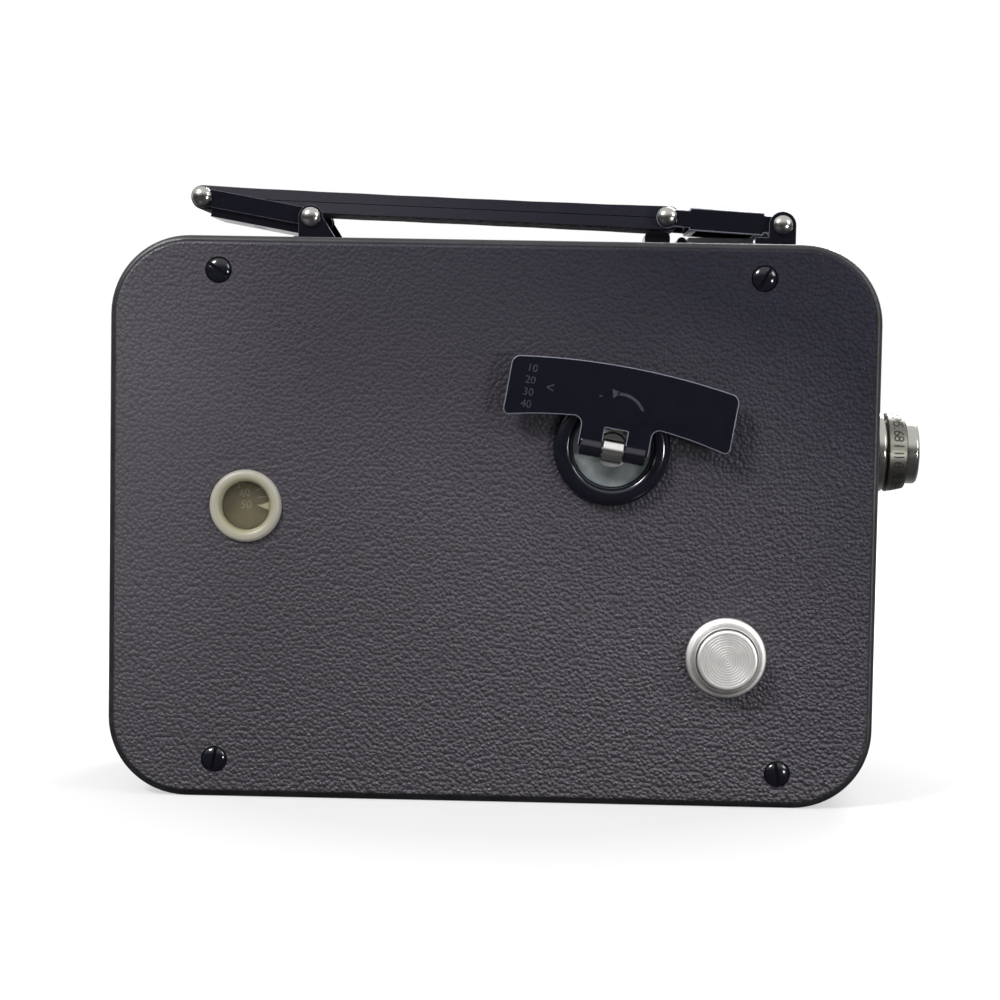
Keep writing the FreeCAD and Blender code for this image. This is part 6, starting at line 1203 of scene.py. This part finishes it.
class MOVIECAM_OT_strap(bpy.types.Operator):
    """Folds the leather handle round its pins and stitches its two layers"""
    bl_idname = "moviecam.handle_strap"
    bl_label = "Handle strap"

    def execute(self, context):
        sizes = context.scene.camera_strap
        half, layer = sizes.width / MM / 2, sizes.thickness / MM / 2
        split, cuts = 0.04, 24
        upper = block((-layer, STRAP_LENGTH + layer + 0.35), (-half, half), (split, layer))
        pick(upper, lambda e: runs_along(e, "Y") and lies_at(e, "Z", layer))
        round_picked(layer - 0.15, 10)
        pick(upper, lambda e: not runs_along(e, "Y")
             and (lies_at(e, "Y", -half) or lies_at(e, "Y", half)))
        round_picked(0.5, 4)
        open_mesh(upper)
        for number in range(1, cuts):
            bpy.ops.mesh.select_all(action="SELECT")
            bpy.ops.mesh.bisect(plane_co=mm(STRAP_LENGTH * number / cuts, 0, 0),
                                plane_no=(1, 0, 0))
        close_mesh()
        for vert in upper.data.vertices:
            thick, wide = pressed(vert.co.x / MM)
            vert.co.z *= thick
            vert.co.y *= wide
        lower = copy_of(upper)
        open_mesh(lower)
        bpy.ops.transform.mirror(constraint_axis=(False, False, True),
                                 center_override=(0, 0, 0))
        bpy.ops.mesh.normals_make_consistent(inside=False)
        close_mesh()
        strap = join(upper, lower)
        stand_on_pins(strap)
        finish(strap, "folded_handle_strap", "handle", palette["strap"],
               ["handle_strap"], 40)

        clear_selection()
        bpy.ops.mesh.primitive_uv_sphere_add(segments=8, ring_count=5, radius=1 * MM)
        stitch = bpy.context.object
        stitch.scale = (1.25, 0.34, 0.26)
        settle(stitch)
        pitch, inset = sizes.stitch / MM, sizes.inset / MM
        stitches, end, sunk = [], 7, 0.14
        for number in range(int((STRAP_LENGTH - 2 * end) / pitch) + 1):
            x = end + number * pitch
            lift = layer * pressed(x)[0] - sunk
            for y in (-half + inset, half - inset):
                for side in (-1, 1):
                    stitches.append(copy_of(stitch, (x, y, lift * side)))
        bpy.data.objects.remove(stitch)
        seam = join(*stitches)
        stand_on_pins(seam)
        finish(seam, "handle_strap_stitching", "handle", palette["thread"])
        return {"FINISHED"}


def pressed(x):
    """What the strap keeps of its thickness and width at x, thinner between its pins."""
    waist = math.sin(math.pi * min(max(x / STRAP_LENGTH, 0), 1))
    thinning, waver, narrowing, drift = 0.12, 0.012, 0.012, 0.004
    return (1 - thinning * waist ** 0.5 + waver * math.sin(x * 0.41),
            1 - narrowing * waist + drift * math.sin(x * 0.23 + 1))


def stand_on_pins(piece):
    """Lays a piece made along X from the origin between the strap's two pins."""
    piece.data.transform(Matrix.Translation(mm(REAR_PIN[0], 0, REAR_PIN[1]))
                         @ Matrix.Rotation(STRAP_SLOPE, 4, "Y"))
    return piece


class MOVIECAM_OT_bush(bpy.types.Operator):
    """Turns the tripod bush with its thread"""
    bl_idname = "moviecam.tripod_bush"
    bl_label = "Tripod bush"

    def execute(self, context):
        top, body, flange, flange_low, flange_high = high("tripod_bush").z, 7, 10, 3.0, 4.6
        # The real pitch is 1.27 mm; here six turns of 1.1 mm fill the thread's depth
        at, pitch, crest, root, depth = 0.4, 1.1, 2.6, 2.95, 7.0
        profile = [(top, 0), (top, body - 0.2), (top - 0.2, body), (flange_high, body),
                   (flange_high, flange), (flange_low, flange), (flange_low, body),
                   (0.15, body), (0, body - 0.15), (0, root + 0.4), (at, root)]
        while at < depth - 0.8:
            profile += [(at + pitch / 2, crest), (at + pitch, root)]
            at += pitch
        profile += [(depth, crest), (depth, 0)]
        bush = turned("Z", (0, 0, 0), profile, 64)
        # A square shoulder holds it from turning in the base plate
        neck = block((-body, body), (-body, body), (0.85, flange_low))
        combine(neck, rod("Z", (0, 0, 0), (0, 4), body - 1))
        finish(join(bush, neck), "threaded_tripod_bush", "case",
               palette["satin"], ["tripod_bush"])
        return {"FINISHED"}


class MOVIECAM_OT_stage(bpy.types.Operator):
    """Sets the pale floor, the soft lamps, the surroundings and the camera"""
    bl_idname = "moviecam.stage"
    bl_label = "Stage"

    def execute(self, context):
        stage = context.scene.camera_stage
        clear_selection()
        bpy.ops.mesh.primitive_plane_add(size=8, location=(0, 0, 0))
        floor = bpy.context.object
        floor.name = "floor"
        material = bpy.data.materials.new("matt_paper_floor")
        material.use_nodes = True
        tree = material.node_tree
        tree.nodes.clear()
        # To the camera the paper is white but for the shadow; what it bounces is softer, and
        # polished metal sees it dark in front of the part and brighter behind
        spot = add(tree, "VectorMath", {0: add(tree, "TexCoord").outputs["Object"]},
                   operation="LENGTH")
        glow = add(tree, "MapRange", {"Value": spot.outputs["Value"], "From Min": 0.06,
                                      "From Max": 0.2, "To Min": 0.79, "To Max": 1.36})
        paper = add(tree, "BsdfDiffuse", {"Color": stage.floor[:]})
        lift = add(tree, "Emission", {"Color": (1, 1, 1, 1), "Strength": glow.outputs[0]})
        lit = add(tree, "MixShader", {0: 0.65, 1: paper.outputs[0], 2: lift.outputs[0]})
        path = add(tree, "LightPath")
        behind = add(tree, "MapRange", {"Value": add(tree, "SeparateXYZ", {
            "Vector": add(tree, "TexCoord").outputs["Object"]}).outputs["Y"], "From Min": 0.0,
            "From Max": 0.1, "To Min": 0.045, "To Max": 0.25})
        dim = add(tree, "MixRGB", {"Fac": path.outputs["Is Glossy Ray"],
                                   "Color1": (0.42, 0.42, 0.42, 1),
                                   "Color2": behind.outputs[0]})
        bounce = add(tree, "BsdfDiffuse", {"Color": dim.outputs[0]})
        seen = add(tree, "MixShader", {0: path.outputs["Is Camera Ray"], 1: bounce.outputs[0],
                                       2: lit.outputs[0]})
        add(tree, "OutputMaterial", {"Surface": seen.outputs[0]})
        floor.data.materials.append(material)

        scene = context.scene
        scene.world = bpy.data.worlds.new("pale_room")
        scene.world.use_nodes = True
        tree = scene.world.node_tree
        tree.nodes.clear()
        way = add(tree, "TexCoord")
        axes = add(tree, "SeparateXYZ", {"Vector": way.outputs["Generated"]})
        # Polished metal mirrors a bright ceiling, a pale far wall and a near wall in the shade
        ceiling = add(tree, "MapRange", {"Value": axes.outputs["Z"], "From Min": 0.18,
                                         "From Max": 0.6, "To Min": 0.07, "To Max": 1.0},
                      interpolation_type="SMOOTHSTEP")
        wall = add(tree, "MapRange", {"Value": axes.outputs["Y"], "From Min": -0.15,
                                      "From Max": 0.4, "To Min": 0.0, "To Max": 0.8})
        room = add(tree, "Math", {0: ceiling.outputs[0], 1: wall.outputs[0]},
                   operation="MAXIMUM")
        path = add(tree, "LightPath")
        mirror = add(tree, "Background", {"Color": room.outputs[0], "Strength": 1.0})
        light = add(tree, "Background", {"Color": (1, 1, 1, 1), "Strength": 0.62})
        white = add(tree, "Background", {"Color": (1, 1, 1, 1), "Strength": 1.0})
        first = add(tree, "MixShader", {0: path.outputs["Is Glossy Ray"], 1: light.outputs[0],
                                        2: mirror.outputs[0]})
        clear = add(tree, "Math", {0: path.outputs["Is Camera Ray"],
                                   1: path.outputs["Is Transmission Ray"]}, operation="MAXIMUM")
        last = add(tree, "MixShader", {0: clear.outputs[0], 1: first.outputs[0],
                                       2: white.outputs[0]})
        add(tree, "OutputWorld", {"Surface": last.outputs[0]})

        # Each lamp's place and width in metres and its power in watts
        for name, place, size, power in (("window", (-0.5, -0.6, 0.7), 0.22, 9.0),
                                         ("side", (0.7, -0.5, 0.5), 0.3, 2.5),
                                         ("low", (0.42, -0.5, 0.04), 0.08, 1.0),
                                         ("behind", (0.3, 0.75, 0.6), 0.4, 8.0)):
            lamp = bpy.data.lights.new(name, "AREA")
            lamp.shape, lamp.size, lamp.energy = "SQUARE", size, power * stage.lamp
            holder = bpy.data.objects.new(name, lamp)
            holder.location = place
            holder.rotation_euler = (Vector((0, 0, 0.06)) - Vector(place)).to_track_quat(
                "-Z", "Y").to_euler()
            scene.collection.objects.link(holder)

        # The photograph's viewpoint: nearly square on, a little above the middle
        data = bpy.data.cameras.new("view")
        data.lens = stage.lens
        view = bpy.data.objects.new("view", data)
        view.location = (0.0135, -0.518, 0.0956)
        view.rotation_euler = [math.radians(a) for a in (86.489, -0.978, 1.440)]
        scene.collection.objects.link(view)
        scene.camera = view
        scene.view_settings.view_transform = "Standard"
        return {"FINISHED"}


OPERATORS = [MOVIECAM_OT_solids, MOVIECAM_OT_leather, MOVIECAM_OT_screws, MOVIECAM_OT_cup,
             MOVIECAM_OT_key, MOVIECAM_OT_window, MOVIECAM_OT_release, MOVIECAM_OT_lens,
             MOVIECAM_OT_metalwork, MOVIECAM_OT_springs, MOVIECAM_OT_pins, MOVIECAM_OT_strap,
             MOVIECAM_OT_bush, MOVIECAM_OT_stage]
GROUPS = {"camera_leather": CameraLeather, "camera_metal": CameraMetal, "camera_key": CameraKey,
          "camera_button": CameraButton, "camera_strap": CameraStrap,
          "camera_stage": CameraStage}


class MOVIECAM_PT_panel(bpy.types.Panel):
    """Lists the camera's pieces and the sizes and colours that change them"""
    bl_idname = "MOVIECAM_PT_panel"
    bl_label = "Movie camera"
    bl_space_type = "VIEW_3D"
    bl_region_type = "UI"
    bl_category = "Movie camera"

    def draw(self, context):
        for operator in OPERATORS:
            self.layout.operator(operator.bl_idname)
        for name, group in GROUPS.items():
            column = self.layout.column(align=True)
            for prop in group.__annotations__:
                column.prop(getattr(context.scene, name), prop)


def register():
    for group in GROUPS.values():
        bpy.utils.register_class(group)
    for name, group in GROUPS.items():
        setattr(bpy.types.Scene, name, bpy.props.PointerProperty(type=group))
    for operator in OPERATORS:
        bpy.utils.register_class(operator)
    bpy.utils.register_class(MOVIECAM_PT_panel)


def unregister():
    bpy.utils.unregister_class(MOVIECAM_PT_panel)
    for operator in reversed(OPERATORS):
        bpy.utils.unregister_class(operator)
    for name in GROUPS:
        delattr(bpy.types.Scene, name)
    for group in reversed(list(GROUPS.values())):
        bpy.utils.unregister_class(group)


def main():
    register()
    for operator in OPERATORS:
        family, name = operator.bl_idname.split(".")
        getattr(getattr(bpy.ops, family), name)()


if __name__ == "__main__":
    main()
